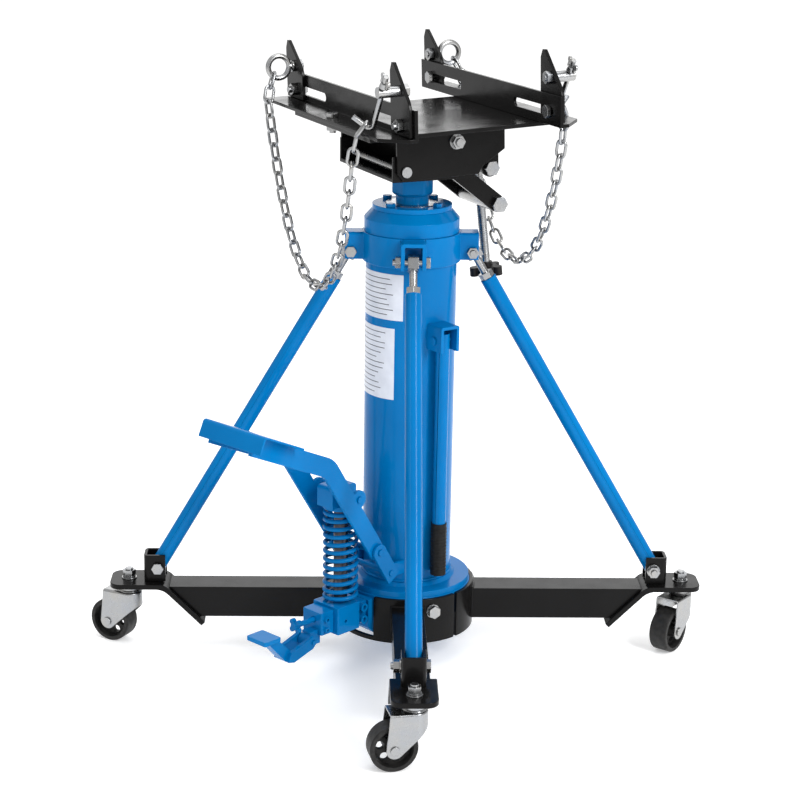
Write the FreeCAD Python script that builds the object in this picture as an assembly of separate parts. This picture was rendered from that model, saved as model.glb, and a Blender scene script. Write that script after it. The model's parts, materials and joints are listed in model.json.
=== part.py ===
import FreeCAD, Part
import math
import os

# Two-stage telescopic hydraulic transmission jack on a four-legged rolling base.
# Frame: origin on the floor on the column axis, +Z up, front leg along -Y,
# right leg along +X. All sizes are in millimetres.

V = FreeCAD.Vector
Z_AXIS = V(0, 0, 1)

# ---------------------------------------------------------------- driving dimensions
# rolling base
LEG_SIZE = 50.0
LEG_WALL = 3.5
LEG_TOP = 103.0
MITRE_RADIUS = 377.0
STEM_RADIUS = 442.0
PLATE_THICK = 8.0
PLATE_TOP = 109.0
PLATE_WIDTH = 68.0
PLATE_END = 471.0
BEND_RADIUS = 20.0
RING_OUTER = 108.0
RING_INNER = 102.0
RING_BOTTOM = 42.0
RING_TOP = 115.0
FLANGE_RADIUS = 100.0
FLANGE_TOP = 125.0
BASE_BOLT_HEIGHT = 95.0

# casters
WHEEL_RADIUS = 35.0
WHEEL_WIDTH = 30.0
CASTER_TRAIL = 31.0
STEM_DIAMETER = 12.0
FORK_TOP = 89.0
FORK_DOME = 3.3
FORK_THICK = 2.6
FORK_HALF_WIDTH = 20.0
CASTER_TURNS = {"left": 154.4, "right": -126.6, "front": 193.6, "rear": 35.0}
BASE_TURN = 1.94
LEG_TURNS = {"right": 0.0, "rear": 90.0, "left": 180.0, "front": 270.0}

# column and rams
COLUMN_RADIUS = 70.0
COLUMN_WALL = 5.0
COLLAR_RADIUS = 75.5
COLLAR_BOTTOM = 634.0
COLLAR_TOP = 679.0
SHOULDER_RADIUS = 73.0
SHOULDER_TOP = 713.5
SLOPE_BOTTOM = 700.0
CAP_RADIUS = 61.0
CAP_TOP = 721.0
CAP_BOLT_CIRCLE = 100.0
CAP_BOLT_TURN = 48.0
CYLINDER_RADIUS = 58.0
CYLINDER_BORE = 50.0
OUTER_RAM_RADIUS = 40.0
OUTER_RAM_BORE = 31.0
INNER_RAM_RADIUS = 25.0
RAM_CLEARANCE = 0.3

# braces
BRACE_DIAMETER = 25.0
BRACE_TOP_RADIUS = 93.0
BRACE_TOP_HEIGHT = 648.6
BRACE_FOOT_RADIUS = 395.0
BRACE_FOOT_HEIGHT = 132.0
LUG_END = 102.0
LUG_WIDTH = 38.0
LUG_WALL = 6.0
BRACKET_WIDTH = 36.0
BRACKET_WALL = 5.0

# foot pump, along the diagonal between the front and left legs
PUMP_TURN = 225.0
PLUNGER_OFFSET = 148.0
PLUNGER_RADIUS = 11.0
PLUNGER_FOOT = 100.0
PLUNGER_BORE_BOTTOM = 78.0
BLOCK_HALF_WIDTH = 28.0
BLOCK_TOP = 116.0
SPRING_RADIUS = 24.9
SPRING_WIRE = 6.2
SPRING_TURNS = 12
SPRING_TOP = 268.0
LEVER_HALF_WIDTH = 43.0
STRIP_THICK = 6.0
STRIP_WIDTH = 30.0
ANCHOR_PIN = (88.0, 157.0)
LINK_PIN = (113.0, 197.0)
PLUNGER_PIN = (155.0, 292.0)
PLUNGER_PIN_RADIUS = 5.0
SLOT_RISE = 2.65
SLOT_HALF_HEIGHT = 8.0
SLOT_HALF_RUN = 6.0
LEVER_FOOT_RADIUS = 14.5
LINK_HALF_WIDTH = 13.0
LEVER_ELBOW = (218.0, 356.0)
LEVER_END = (370.0, 424.0)
ELBOW_RADIUS = 18.0
PIN_BOSS_RADIUS = 14.5
TREAD_HALF_WIDTH = 66.0
TREAD_DEPTH = 84.0
TREAD_LIP = 28.0
TREAD_THICK = 3.0
RELEASE_PIN = (222.0, 70.0)

# fold-out handle
HANDLE_TURN = -56.4
HANDLE_OFFSET = 86.0
HANDLE_RADIUS = 10.4
HANDLE_PIN_HEIGHT = 525.0

# head: u runs across the rails, v along them, w up; w = 0 is the saddle plate's top
HEAD_TURN = 23.2
HEAD_HEIGHT = 857.6
SADDLE_TILT = 2.3
SADDLE_CENTRE = 9.0
WEB_HALF_GAP = 111.5
RAIL_THICK = 5.0
RAIL_FLANGE = 47.0
RAIL_HEIGHT = 45.0
RAIL_NEAR = -236.0
RAIL_FAR = 228.0
SLOT_WIDTH = 13.0
SADDLE_THICK = 6.0
SADDLE_NEAR = -171.0
SADDLE_FAR = 112.0
BRACKET_CENTRE = 5.0
TILT_HALF_WIDTH = 105.0
TILT_PIN = (-60.0, -68.0)
UPPER_TRUNNION = (108.0, -87.6)
LOWER_TRUNNION = (112.5, -141.0)
SCREW_RADIUS = 6.7
SCREW_PLAY = 2.9
KNOB_DISTANCE = 170.0

# chains
LINK_WIRE = 4.8
LINK_PITCH = 22.4
LINK_WIDTH = 19.0
LINK_PLAY = 0.2
CHAIN_LINKS = 32
CHAIN_GAP = 11.5
CHAIN_CLEARANCE = 0.4
HOOKED_AT = 13.5
LEAN_DROP = 32.0
RING_LEAN = math.radians(36)
RING_REACH = 25.0
RING_CENTRE_RADIUS = 17.0
RING_WIRE = 4.3
HOOK_REACH = 25.0
HOOK_SHANK = 70.3
HOOK_TIP = 34.0
FRONT_EAR_HEIGHT = 105.0
REAR_EAR_HEIGHT = 93.0
EAR_BOLT_SETBACK = 30.0
EAR_BOLT_DROP = 37.5
HOOK_WIRE = 3.7

os.makedirs("parts", exist_ok=True)


# ---------------------------------------------------------------- small helpers
def save(name, solids):
    """Write one node's solids to its own STEP file."""
    shape = Part.makeCompound(solids) if isinstance(solids, list) else solids
    shape.exportStep("parts/" + name + ".step")


def box(x0, x1, y0, y1, z0, z1):
    """Block between two corners."""
    return Part.makeBox(x1 - x0, y1 - y0, z1 - z0, V(x0, y0, z0))


def rod(radius, start, end):
    """Round bar between two points."""
    axis = V(*end) - V(*start)
    return Part.makeCylinder(radius, axis.Length, V(*start), axis)


def pipe(outer, inner, start, end):
    """Round tube between two points."""
    return rod(outer, start, end).cut(rod(inner, start, end))


def ring(outer, inner, low, high):
    """Upright tube about the column axis."""
    return pipe(outer, inner, (0, 0, low), (0, 0, high))


def hexagon(across_flats, start, end):
    """Hexagonal bar between two points."""
    axis = V(*end) - V(*start)
    corner = across_flats / math.sqrt(3)
    points = []
    for step in range(7):
        turn = math.radians(60 * step)
        points.append(V(corner * math.cos(turn), corner * math.sin(turn), 0))
    bar = Part.Face(Part.makePolygon(points)).extrude(V(0, 0, axis.Length))
    bar.Placement = FreeCAD.Placement(V(*start), FreeCAD.Rotation(Z_AXIS, axis))
    return bar


def plate_xz(points, y0, y1):
    """Flat plate with its outline in the X-Z plane, between two Y values."""
    outline = [V(x, y0, z) for x, z in points]
    outline.append(outline[0])
    return Part.Face(Part.makePolygon(outline)).extrude(V(0, y1 - y0, 0))


def rounded(shape, radius, pick):
    """Fillet the edges whose centre passes the test."""
    chosen = [edge for edge in shape.Edges if pick(edge)]
    return shape.makeFillet(radius, chosen)


def runs_along(edge, direction):
    """True for a straight edge parallel to the direction."""
    if edge.Curve.TypeId != "Part::GeomLine":
        return False
    start, end = edge.Vertexes[0].Point, edge.Vertexes[-1].Point
    return (end - start).cross(direction).Length < 1e-6


def over_point(edge, point):
    """True when the edge's centre lies on the Y line through a point of the X-Z plane."""
    centre = edge.CenterOfMass
    return V(centre.x - point.x, centre.z - point.y, 0).Length < 1


def turned(shape, degrees):
    """Copy turned about the column axis."""
    copy = shape.copy()
    copy.rotate(V(0, 0, 0), Z_AXIS, degrees)
    return copy


def four_turns(shape):
    """Copies of a piece at the four leg directions."""
    return [turned(shape, turn) for turn in LEG_TURNS.values()]


def hex_bolt(start, end, radius, across_flats, head):
    """Bolt whose head lies behind start and whose shank runs to end."""
    axis = (V(*end) - V(*start)).normalize()
    back = V(*start) - axis * head
    shank = rod(radius, start, end)
    return hexagon(across_flats, tuple(back), start).fuse(shank)


def hex_nut(start, end, radius, across_flats):
    """Nut between two points with a plain hole."""
    return hexagon(across_flats, start, end).cut(rod(radius, start, end))


def socket_screw(start, end, radius, head_radius, head):
    """Cap screw with a hexagonal socket, its head behind start."""
    axis = (V(*end) - V(*start)).normalize()
    back = V(*start) - axis * head
    socket_end = tuple(back + axis * (0.6 * head))
    screw = rod(head_radius, tuple(back), start).fuse(rod(radius, start, end))
    return screw.cut(hexagon(head_radius, tuple(back), socket_end))


# ---------------------------------------------------------------- rolling base
def leg():
    """Leg along +X: mitred square tube, bent end plate and brace bracket."""
    half = LEG_SIZE / 2
    low = LEG_TOP - LEG_SIZE
    start = math.sqrt(RING_OUTER ** 2 - half ** 2) - 1.0
    outline = [(start, low), (MITRE_RADIUS - LEG_SIZE, low), (MITRE_RADIUS, LEG_TOP), (start, LEG_TOP)]
    tube = plate_xz(outline, -half, half)
    inner = half - LEG_WALL
    tube = tube.cut(box(start - 1, PLATE_END, -inner, inner, low + LEG_WALL, LEG_TOP - LEG_WALL))
    tube = tube.cut(ring(RING_OUTER, 1.0, 0, PLATE_TOP))
    return [tube, end_plate(), brace_bracket()]


def end_plate():
    """Bent plate that closes the mitred tube and carries the caster stem."""
    half = PLATE_WIDTH / 2
    bend = MITRE_RADIUS + PLATE_TOP - LEG_TOP
    low = LEG_TOP - LEG_SIZE - 7.0
    across = PLATE_THICK * math.sqrt(2)
    foot = bend - (PLATE_TOP - low)
    knee = bend + PLATE_THICK * math.tan(math.radians(22.5))
    outline = [
        (PLATE_END, PLATE_TOP),
        (bend, PLATE_TOP),
        (foot, low),
        (foot + across / 2, low - across / 2),
        (knee, PLATE_TOP - PLATE_THICK),
        (PLATE_END, PLATE_TOP - PLATE_THICK),
    ]
    plate = plate_xz(outline, -half, half)
    plate = rounded(plate, 18.0, lambda e: runs_along(e, Z_AXIS) and e.CenterOfMass.x > PLATE_END - 1)
    upper, lower = V(bend, 0, PLATE_TOP), V(knee, 0, PLATE_TOP - PLATE_THICK)
    plate = rounded(plate, BEND_RADIUS, lambda e: (e.CenterOfMass - upper).Length < 1)
    plate = rounded(plate, BEND_RADIUS + PLATE_THICK, lambda e: (e.CenterOfMass - lower).Length < 1)
    return plate.cut(rod(STEM_DIAMETER / 2 + 0.05, (STEM_RADIUS, 0, 0), (STEM_RADIUS, 0, 200)))


def brace_bracket():
    """U bracket, closed outwards, that holds the foot of a brace."""
    half = BRACKET_WIDTH / 2
    inner = half - BRACKET_WALL
    near, far = BRACE_FOOT_RADIUS - 12.0, BRACE_FOOT_RADIUS + 22.0
    top = BRACE_FOOT_HEIGHT + 21.0
    bracket = box(near, far, -half, half, PLATE_TOP, top)
    bracket = rounded(bracket, 7.0, lambda e: runs_along(e, Z_AXIS) and e.CenterOfMass.x > far - 1)
    bracket = bracket.cut(box(near - 1, far - BRACKET_WALL, -inner, inner, PLATE_TOP - 1, top + 1))
    hole = rod(5.05, (BRACE_FOOT_RADIUS, -half - 1, BRACE_FOOT_HEIGHT),
               (BRACE_FOOT_RADIUS, half + 1, BRACE_FOOT_HEIGHT))
    return bracket.cut(hole)


def base_ring():
    """Rolled skirt that the legs are welded to, slit once and cut away for the pump."""
    skirt = ring(RING_OUTER, RING_INNER, RING_BOTTOM, RING_TOP)
    slit = turned(box(RING_INNER - 2, RING_OUTER + 2, -2.5, 2.5, 0, 200), -45.0)
    gap = BLOCK_HALF_WIDTH + 1.0
    window = turned(box(80, RING_OUTER + 2, -gap, gap, 49.0, 200), PUMP_TURN)
    skirt = skirt.cut(slit).cut(window)
    for hole in base_bolt_holes(6.05):
        skirt = skirt.cut(hole)
    return skirt


def base_bolt_holes(radius):
    """Radial holes for the four bolts that hold the column in the ring."""
    hole = rod(radius, (80, 0, BASE_BOLT_HEIGHT), (RING_OUTER + 2, 0, BASE_BOLT_HEIGHT))
    return [turned(hole, turn - 68.5) for turn in (0, 90, 180, 270)]


def base_flange():
    """Column foot: a disc that drops into the ring, with a fillet weld round the tube."""
    foot = ring(RING_INNER - 0.2, 20.0, 80.0, RING_TOP)
    disc = ring(FLANGE_RADIUS, 20.0, RING_TOP, FLANGE_TOP)
    weld = Part.makeCone(COLUMN_RADIUS + 7, COLUMN_RADIUS, 7.0, V(0, 0, FLANGE_TOP))
    weld = weld.cut(rod(COLUMN_RADIUS, (0, 0, 0), (0, 0, 200)))
    body = foot.fuse(disc).fuse(weld)
    for hole in base_bolt_holes(6.0):
        body = body.cut(hole)
    return body


def base_bolts():
    """Four radial hex bolts with washers."""
    bolt = hex_bolt((RING_OUTER + 1.65, 0, BASE_BOLT_HEIGHT), (85, 0, BASE_BOLT_HEIGHT), 6.0, 18.0, 7.5)
    seat = RING_OUTER - 0.4
    washer = pipe(11.0, 6.1, (seat, 0, BASE_BOLT_HEIGHT), (seat + 2.0, 0, BASE_BOLT_HEIGHT))
    washer = washer.cut(ring(RING_OUTER, 1.0, 0, 200))
    pieces = []
    for turn in (0, 90, 180, 270):
        pieces.append(turned(bolt, turn - 68.5))
        pieces.append(turned(washer, turn - 68.5))
    return pieces


# ---------------------------------------------------------------- casters
def fork_body(half, top, skirt, foot):
    """Solid block in the outline of the fork: rounded in front, tapering to the axle."""
    x, z = CASTER_TRAIL, WHEEL_RADIUS
    chin = (x - 0.72 * foot, z - 0.7 * foot)
    outline = [(-half, top), (-half, skirt), chin, (x, z), (x + foot, z), (x + 7, top)]
    block = plate_xz(outline, -half, half).fuse(rod(foot, (x, -half, z), (x, half, z)))
    plan = rod(half, (0, 0, 0), (0, 0, top)).fuse(box(0, x + foot + 1, -half, half, 0, top))
    return block.common(plan).removeSplitter()


def caster_fork():
    """Pressed swivel fork with its riveted axle; the wheel trails towards +X."""
    outer = FORK_HALF_WIDTH
    inner = outer - FORK_THICK
    body = fork_body(outer, FORK_TOP, FORK_TOP - 23.5, 12.5)
    crown = V(CASTER_TRAIL, 0, FORK_TOP - 0.1)
    body = rounded(body, 4.0, lambda e: e.CenterOfMass.z > crown.z and e.CenterOfMass.x < crown.x)
    hollow = rod(inner, (0, 0, -1), (0, 0, FORK_TOP - FORK_THICK))
    hollow = hollow.fuse(box(0, 2 * CASTER_TRAIL, -inner, inner, -1, FORK_TOP - FORK_THICK))
    body = body.cut(hollow)
    dome = Part.makeCone(17.5, 15.5, FORK_DOME, V(0, 0, FORK_TOP - 0.1))
    reach = outer + 0.05
    ends = (CASTER_TRAIL, -reach, WHEEL_RADIUS), (CASTER_TRAIL, reach, WHEEL_RADIUS)
    fork = body.fuse(dome).cut(rod(5.05, *ends))
    axle = rod(5.0, *ends)
    for side in (-1, 1):
        axle = axle.fuse(rod(6.8, (CASTER_TRAIL, side * reach, WHEEL_RADIUS),
                             (CASTER_TRAIL, side * (reach + 2.4), WHEEL_RADIUS)))
    return [fork, axle]


def caster_wheel():
    """Cast wheel with a web, a hub and a ring of lightening holes."""
    half = WHEEL_WIDTH / 2
    centre = V(CASTER_TRAIL, 0, WHEEL_RADIUS)
    half_section = [(5.08, half + 1.0), (10, half + 1.0), (11, 4), (26, 3.2), (28, half), (33.5, half),
                    (WHEEL_RADIUS, half - 2.0)]
    points = [V(r, 0, h) for r, h in half_section]
    points += [V(r, 0, -h) for r, h in reversed(half_section)]
    points.append(points[0])
    wheel = Part.Face(Part.makePolygon(points)).revolve(V(0, 0, 0), Z_AXIS, 360)
    for step in range(6):
        turn = math.radians(60 * step + 10)
        x, y = 18.6 * math.cos(turn), 18.6 * math.sin(turn)
        wheel = wheel.cut(rod(5.9, (x, y, -half), (x, y, half)))
    wheel.rotate(V(0, 0, 0), V(1, 0, 0), 90)
    wheel.translate(centre)
    return wheel


def place_caster(piece, corner):
    """Turn a caster piece to its trail direction and move it to its leg."""
    copy = turned(piece, CASTER_TURNS[corner] - BASE_TURN)
    turn = math.radians(LEG_TURNS[corner])
    copy.translate(V(STEM_RADIUS * math.cos(turn), STEM_RADIUS * math.sin(turn), 0))
    return copy


def caster_stems():
    """Threaded stem with its swivel race, washer, spring washer and nut for each caster."""
    stem = STEM_DIAMETER / 2 + 0.05

    def at(height):
        return (STEM_RADIUS, 0, height)

    washer = pipe(12.0, stem, at(PLATE_TOP), at(PLATE_TOP + 2))
    spring_washer = pipe(10.2, stem, at(PLATE_TOP + 2.1), at(PLATE_TOP + 4.6))
    nut = hex_nut(at(PLATE_TOP + 4.7), at(PLATE_TOP + 14), stem, 18.0)
    race = rod(17.5, at(FORK_TOP + FORK_DOME + 0.3), at(PLATE_TOP - PLATE_THICK))
    stem = race.fuse(rod(STEM_DIAMETER / 2, at(FORK_TOP + FORK_DOME + 0.3), at(PLATE_TOP + 17)))
    pieces = []
    for piece in (washer, spring_washer, nut, stem):
        pieces += four_turns(piece)
    return pieces


# ---------------------------------------------------------------- column
def column_tube():
    """Outer reservoir tube."""
    return ring(COLUMN_RADIUS, COLUMN_RADIUS - COLUMN_WALL, FLANGE_TOP + 0.1, SHOULDER_TOP - 22)


def inner_cylinder():
    """Pressure cylinder inside the reservoir, closed by a foot plug."""
    wall = ring(CYLINDER_RADIUS, CYLINDER_BORE, 150.0, SHOULDER_TOP - 24)
    plug = rod(CYLINDER_RADIUS, (0, 0, FLANGE_TOP + 0.5), (0, 0, 150))
    return wall.fuse(plug)


def collar():
    """Welded band with four downward-open clevis lugs for the braces."""
    band = ring(COLLAR_RADIUS, COLUMN_RADIUS + 0.05, COLLAR_BOTTOM, COLLAR_TOP)
    half = LUG_WIDTH / 2
    low = BRACE_TOP_HEIGHT - 12.0
    lug = box(COLUMN_RADIUS + 2, LUG_END, -half, half, low, COLLAR_TOP - 1)
    lug = rounded(lug, 5.0, lambda e: runs_along(e, V(1, 0, 0)) and e.CenterOfMass.z > COLLAR_TOP - 2)
    inner = half - LUG_WALL
    lug = lug.cut(box(COLLAR_RADIUS + 3, LUG_END + 1, -inner, inner, low - 1, COLLAR_TOP - 1 - LUG_WALL))
    for piece in four_turns(lug):
        band = band.fuse(piece)
    band = band.cut(ring(COLUMN_RADIUS + 0.05, 1.0, 0, 900))
    hole = rod(5.05, (BRACE_TOP_RADIUS, -60, BRACE_TOP_HEIGHT), (BRACE_TOP_RADIUS, 60, BRACE_TOP_HEIGHT))
    for piece in four_turns(hole):
        band = band.cut(piece)
    return band


def gland_housing():
    """Turned housing at the top of the column with a sloped shoulder."""
    rise = SHOULDER_TOP - SLOPE_BOTTOM
    slope = Part.makeCone(SHOULDER_RADIUS, CAP_RADIUS, rise, V(0, 0, SLOPE_BOTTOM))
    body = rod(SHOULDER_RADIUS, (0, 0, COLLAR_TOP + 0.1), (0, 0, SLOPE_BOTTOM)).fuse(slope)
    body = body.cut(rod(COLUMN_RADIUS + 0.05, (0, 0, 0), (0, 0, SHOULDER_TOP - 22)))
    return body.cut(rod(OUTER_RAM_RADIUS + RAM_CLEARANCE, (0, 0, 0), (0, 0, 900)))


def cap_flange():
    """Gland cap that keeps the wiper seal."""
    cap = ring(CAP_RADIUS, OUTER_RAM_RADIUS + RAM_CLEARANCE, SHOULDER_TOP + 0.1, CAP_TOP)
    for hole in cap_bolt_places(4.02, 600, 900):
        cap = cap.cut(hole)
    return cap


def cap_bolt_places(radius, low, high):
    """Upright bars at the four cap bolt positions."""
    bar = rod(radius, (CAP_BOLT_CIRCLE / 2, 0, low), (CAP_BOLT_CIRCLE / 2, 0, high))
    return [turned(bar, turn + CAP_BOLT_TURN) for turn in (0, 90, 180, 270)]


def cap_bolts():
    """Four hex bolts on the gland cap."""
    reach = CAP_BOLT_CIRCLE / 2
    bolt = hex_bolt((reach, 0, CAP_TOP), (reach, 0, SHOULDER_TOP + 1), 4.0, 13.0, 5.5)
    return [turned(bolt, turn + CAP_BOLT_TURN) for turn in (0, 90, 180, 270)]


def outer_ram():
    """First lifting stage: tube with a piston and a gland ring at its top."""
    low = 165.0
    tube = ring(OUTER_RAM_RADIUS, OUTER_RAM_BORE, low, CAP_TOP + 1)
    piston = ring(CYLINDER_BORE - RAM_CLEARANCE, OUTER_RAM_BORE, low, low + 24)
    gland = ring(OUTER_RAM_BORE, INNER_RAM_RADIUS + RAM_CLEARANCE, CAP_TOP - 20, CAP_TOP + 1)
    return tube.fuse(piston).fuse(gland)


def inner_ram():
    """Second lifting stage: solid rod with a piston."""
    low = 172.0
    bar = rod(INNER_RAM_RADIUS, (0, 0, low), (0, 0, CAP_TOP + 13))
    piston = rod(OUTER_RAM_BORE - RAM_CLEARANCE, (0, 0, low), (0, 0, low + 22))
    spigot = rod(15.0, (0, 0, CAP_TOP + 13), (0, 0, HEAD_HEIGHT - 92))
    return bar.fuse(piston).fuse(spigot)


def ram_adapter():
    """Hexagonal socket under the head that turns on the ram's spigot."""
    low = CAP_TOP + 13.3
    top = HEAD_HEIGHT - 86.2
    nut = hexagon(56.0, (0, 0, low + 3), (0, 0, top))
    skirt = Part.makeCone(28.0, 31.0, 3.0, V(0, 0, low))
    body = nut.common(rod(31.0, (0, 0, low + 3), (0, 0, top))).fuse(skirt)
    return turned(body.cut(rod(15.06, (0, 0, low - 1), (0, 0, HEAD_HEIGHT - 91.5))), HEAD_TURN - 20)


# ---------------------------------------------------------------- braces
def along_brace(distance):
    """Point on a brace's axis, measured down from its top pin, for the leg along +X."""
    top = V(BRACE_TOP_RADIUS, 0, BRACE_TOP_HEIGHT)
    foot = V(BRACE_FOOT_RADIUS, 0, BRACE_FOOT_HEIGHT)
    return tuple(top + (foot - top).normalize() * distance)


def brace_length():
    """Distance between a brace's two pins."""
    run = BRACE_FOOT_RADIUS - BRACE_TOP_RADIUS
    return math.hypot(run, BRACE_TOP_HEIGHT - BRACE_FOOT_HEIGHT)


def brace_tube():
    """Brace tube with its foot hole."""
    half = BRACE_DIAMETER / 2
    length = brace_length()
    tube = pipe(half, half - 2.2, along_brace(50), along_brace(length + 13))
    plug = pipe(half - 2.25, 6.05, along_brace(50), along_brace(66))
    hole = rod(5.05, (BRACE_FOOT_RADIUS, -30, BRACE_FOOT_HEIGHT), (BRACE_FOOT_RADIUS, 30, BRACE_FOOT_HEIGHT))
    return [tube.cut(hole), plug]


def eye_stud():
    """Square eye with a threaded stud that screws into the brace."""
    back, front = along_brace(-11), along_brace(13)
    axis = V(*front) - V(*back)
    block = Part.makeBox(24, 16, axis.Length, V(-12, -8, 0))
    block.Placement = FreeCAD.Placement(V(*back), FreeCAD.Rotation(Z_AXIS, axis))
    block = rounded(block, 9.0, lambda e: runs_along(e, V(0, 1, 0)) and e.CenterOfMass.z > V(*back).z - 8)
    hole = rod(5.05, (BRACE_TOP_RADIUS, -30, BRACE_TOP_HEIGHT), (BRACE_TOP_RADIUS, 30, BRACE_TOP_HEIGHT))
    stud = rod(6.0, front, along_brace(64))
    return block.fuse(stud).cut(hole)


def brace_fasteners():
    """Lock nuts, pin bolts and nuts of the braces, for the leg along +X."""
    pieces = [hex_nut(along_brace(40), along_brace(49.8), 6.05, 20.0)]
    reach = LUG_WIDTH / 2
    x, z = BRACE_TOP_RADIUS, BRACE_TOP_HEIGHT
    pieces.append(hex_bolt((x, reach, z), (x, -reach - 12, z), 5.0, 16.0, 6.5))
    pieces.append(hex_nut((x, -reach, z), (x, -reach - 8, z), 5.05, 16.0))
    reach = BRACKET_WIDTH / 2
    x, z = BRACE_FOOT_RADIUS, BRACE_FOOT_HEIGHT
    pieces.append(hex_bolt((x, reach, z), (x, -reach - 15, z), 5.0, 17.0, 6.5))
    pieces.append(pipe(10.5, 5.05, (x, -reach, z), (x, -reach - 2, z)))
    pieces.append(hex_nut((x, -reach - 2.1, z), (x, -reach - 11, z), 5.05, 17.0))
    return pieces


def frame_fasteners():
    """All zinc-plated bolts, nuts, washers and caster stems of the frame."""
    pieces = base_bolts() + caster_stems()
    for piece in brace_fasteners():
        pieces += four_turns(piece)
    return pieces


# ---------------------------------------------------------------- column brackets
def handle_bracket():
    """Downward-open channel on the column that the handle hangs in."""
    half, wall = 17.0, 5.0
    low, high = HANDLE_PIN_HEIGHT - 16, HANDLE_PIN_HEIGHT + 24
    channel = box(55, HANDLE_OFFSET + 19, -half, half, low, high)
    channel = rounded(channel, 4.0, lambda e: runs_along(e, V(1, 0, 0)) and e.CenterOfMass.z > high - 1)
    inner = half - wall
    channel = channel.cut(box(50, HANDLE_OFFSET + 30, -inner, inner, low - 1, high - wall))
    x, z = HANDLE_OFFSET, HANDLE_PIN_HEIGHT
    channel = channel.cut(rod(4.05, (x, -30, z), (x, 30, z)))
    channel = channel.cut(rod(COLUMN_RADIUS, (0, 0, 0), (0, 0, 900)))
    pin = rod(4.0, (x, -half - 1, z), (x, half + 4, z))
    pin = pin.fuse(rod(6.5, (x, -half, z), (x, -half - 3, z)))
    return [turned(channel, HANDLE_TURN), turned(pin, HANDLE_TURN)]


def anchor_lugs():
    """Two lugs on the column foot with the pin that anchors the pump lever's links."""
    x, z = ANCHOR_PIN
    low = LEVER_HALF_WIDTH - STRIP_THICK / 2
    high = LEVER_HALF_WIDTH + STRIP_THICK / 2
    pieces = []
    for side in (-1, 1):
        y0, y1 = sorted((side * low, side * high))
        lug = box(40, x, y0, y1, z - 11, z + 11).fuse(rod(11, (x, y0, z), (x, y1, z)))
        lug = lug.cut(rod(5.05, (x, y0 - 1, z), (x, y1 + 1, z)))
        pieces.append(turned(lug.cut(rod(COLUMN_RADIUS, (0, 0, 0), (0, 0, 900))), PUMP_TURN))
    pin = rod(5.0, (x, -high - 7.5, z), (x, high + 7.5, z))
    pieces.append(turned(pin, PUMP_TURN))
    return pieces


# ---------------------------------------------------------------- foot pump
def pump_mount():
    """Arm from the column foot that carries the pump block."""
    half = BLOCK_HALF_WIDTH - 2
    arm = box(60, 112, -half, half, 52, 111)
    arm = arm.cut(rod(RING_INNER, (0, 0, 0), (0, 0, 200)))
    chamfer = plate_xz([(60, 51), (113, 51), (113, 66), (98, 52)], -half - 1, half + 1)
    arm = arm.cut(chamfer)
    tongue = box(112, 132, 0.2, 20, 74, 110)
    arm = arm.fuse(tongue)
    for height in (102, 82):
        arm = arm.cut(rod(4.05, (122, -30, height), (122, 30, height)))
    return turned(arm, PUMP_TURN)


def pump_block():
    """Pump body with the plunger bore."""
    half = BLOCK_HALF_WIDTH
    block = box(132.2, 180, -half, half, 72, BLOCK_TOP)
    block = rounded(block, 3.0, lambda e: runs_along(e, Z_AXIS))
    lug = box(112.2, 140, -half, 0, 74, 112)
    block = block.fuse(lug)
    bore_radius = PLUNGER_RADIUS + RAM_CLEARANCE
    bore = rod(bore_radius, (PLUNGER_OFFSET, 0, PLUNGER_BORE_BOTTOM), (PLUNGER_OFFSET, 0, 200))
    plug_hole = rod(2.6, (163, half - 8, 91), (163, half + 1, 91))
    for height in (102, 82):
        block = block.cut(rod(4.05, (122, -20, height), (122, 30, height)))
    return turned(block.cut(bore).cut(plug_hole), PUMP_TURN)


def pump_screws():
    """Cap screws of the pump block and the valve block."""
    screws = []
    for height in (102, 82):
        screws.append(socket_screw((122, 20.05, height), (122, -18, height), 4.0, 7.0, 8.0))
    for height in (101, 84):
        screws.append(socket_screw((197, 18.05, height), (197, 6, height), 2.5, 4.5, 5.0))
    return [turned(screw, PUMP_TURN) for screw in screws]


def valve_block():
    """Release valve block with a nose for the release pedal's pin."""
    x, z = RELEASE_PIN
    block = box(180.1, 206, -24, 18, 76, 112)
    nose = box(200, x, -9, 9, z - 9, 84).fuse(rod(9, (x, -9, z), (x, 9, z)))
    block = rounded(block, 3.0, lambda e: runs_along(e, Z_AXIS) and e.CenterOfMass.x > 200).fuse(nose)
    block = block.cut(rod(4.05, (x, -20, z), (x, 20, z)))
    block = block.cut(rod(4.5, (185, 0, 99), (230, 0, 99)))
    for height in (101, 84):
        block = block.cut(rod(2.55, (197, 5.8, height), (197, 30, height)))
    pin = rod(4.0, (x, -20, z), (x, 20, z))
    return [turned(block, PUMP_TURN), turned(pin, PUMP_TURN)]


def release_knob():
    """Four-lobed knob on the release valve spindle."""
    spindle = rod(4.2, (186, 0, 99), (243, 0, 99))
    knob = rod(6.0, (238, 0, 99), (249, 0, 99))
    for step in range(4):
        turn = math.radians(90 * step + 45)
        y, z = 8.5 * math.cos(turn), 8.5 * math.sin(turn)
        knob = knob.fuse(rod(4.2, (240, y, 99 + z), (247, y, 99 + z)))
    return turned(spindle.fuse(knob).removeSplitter(), PUMP_TURN)


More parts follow.
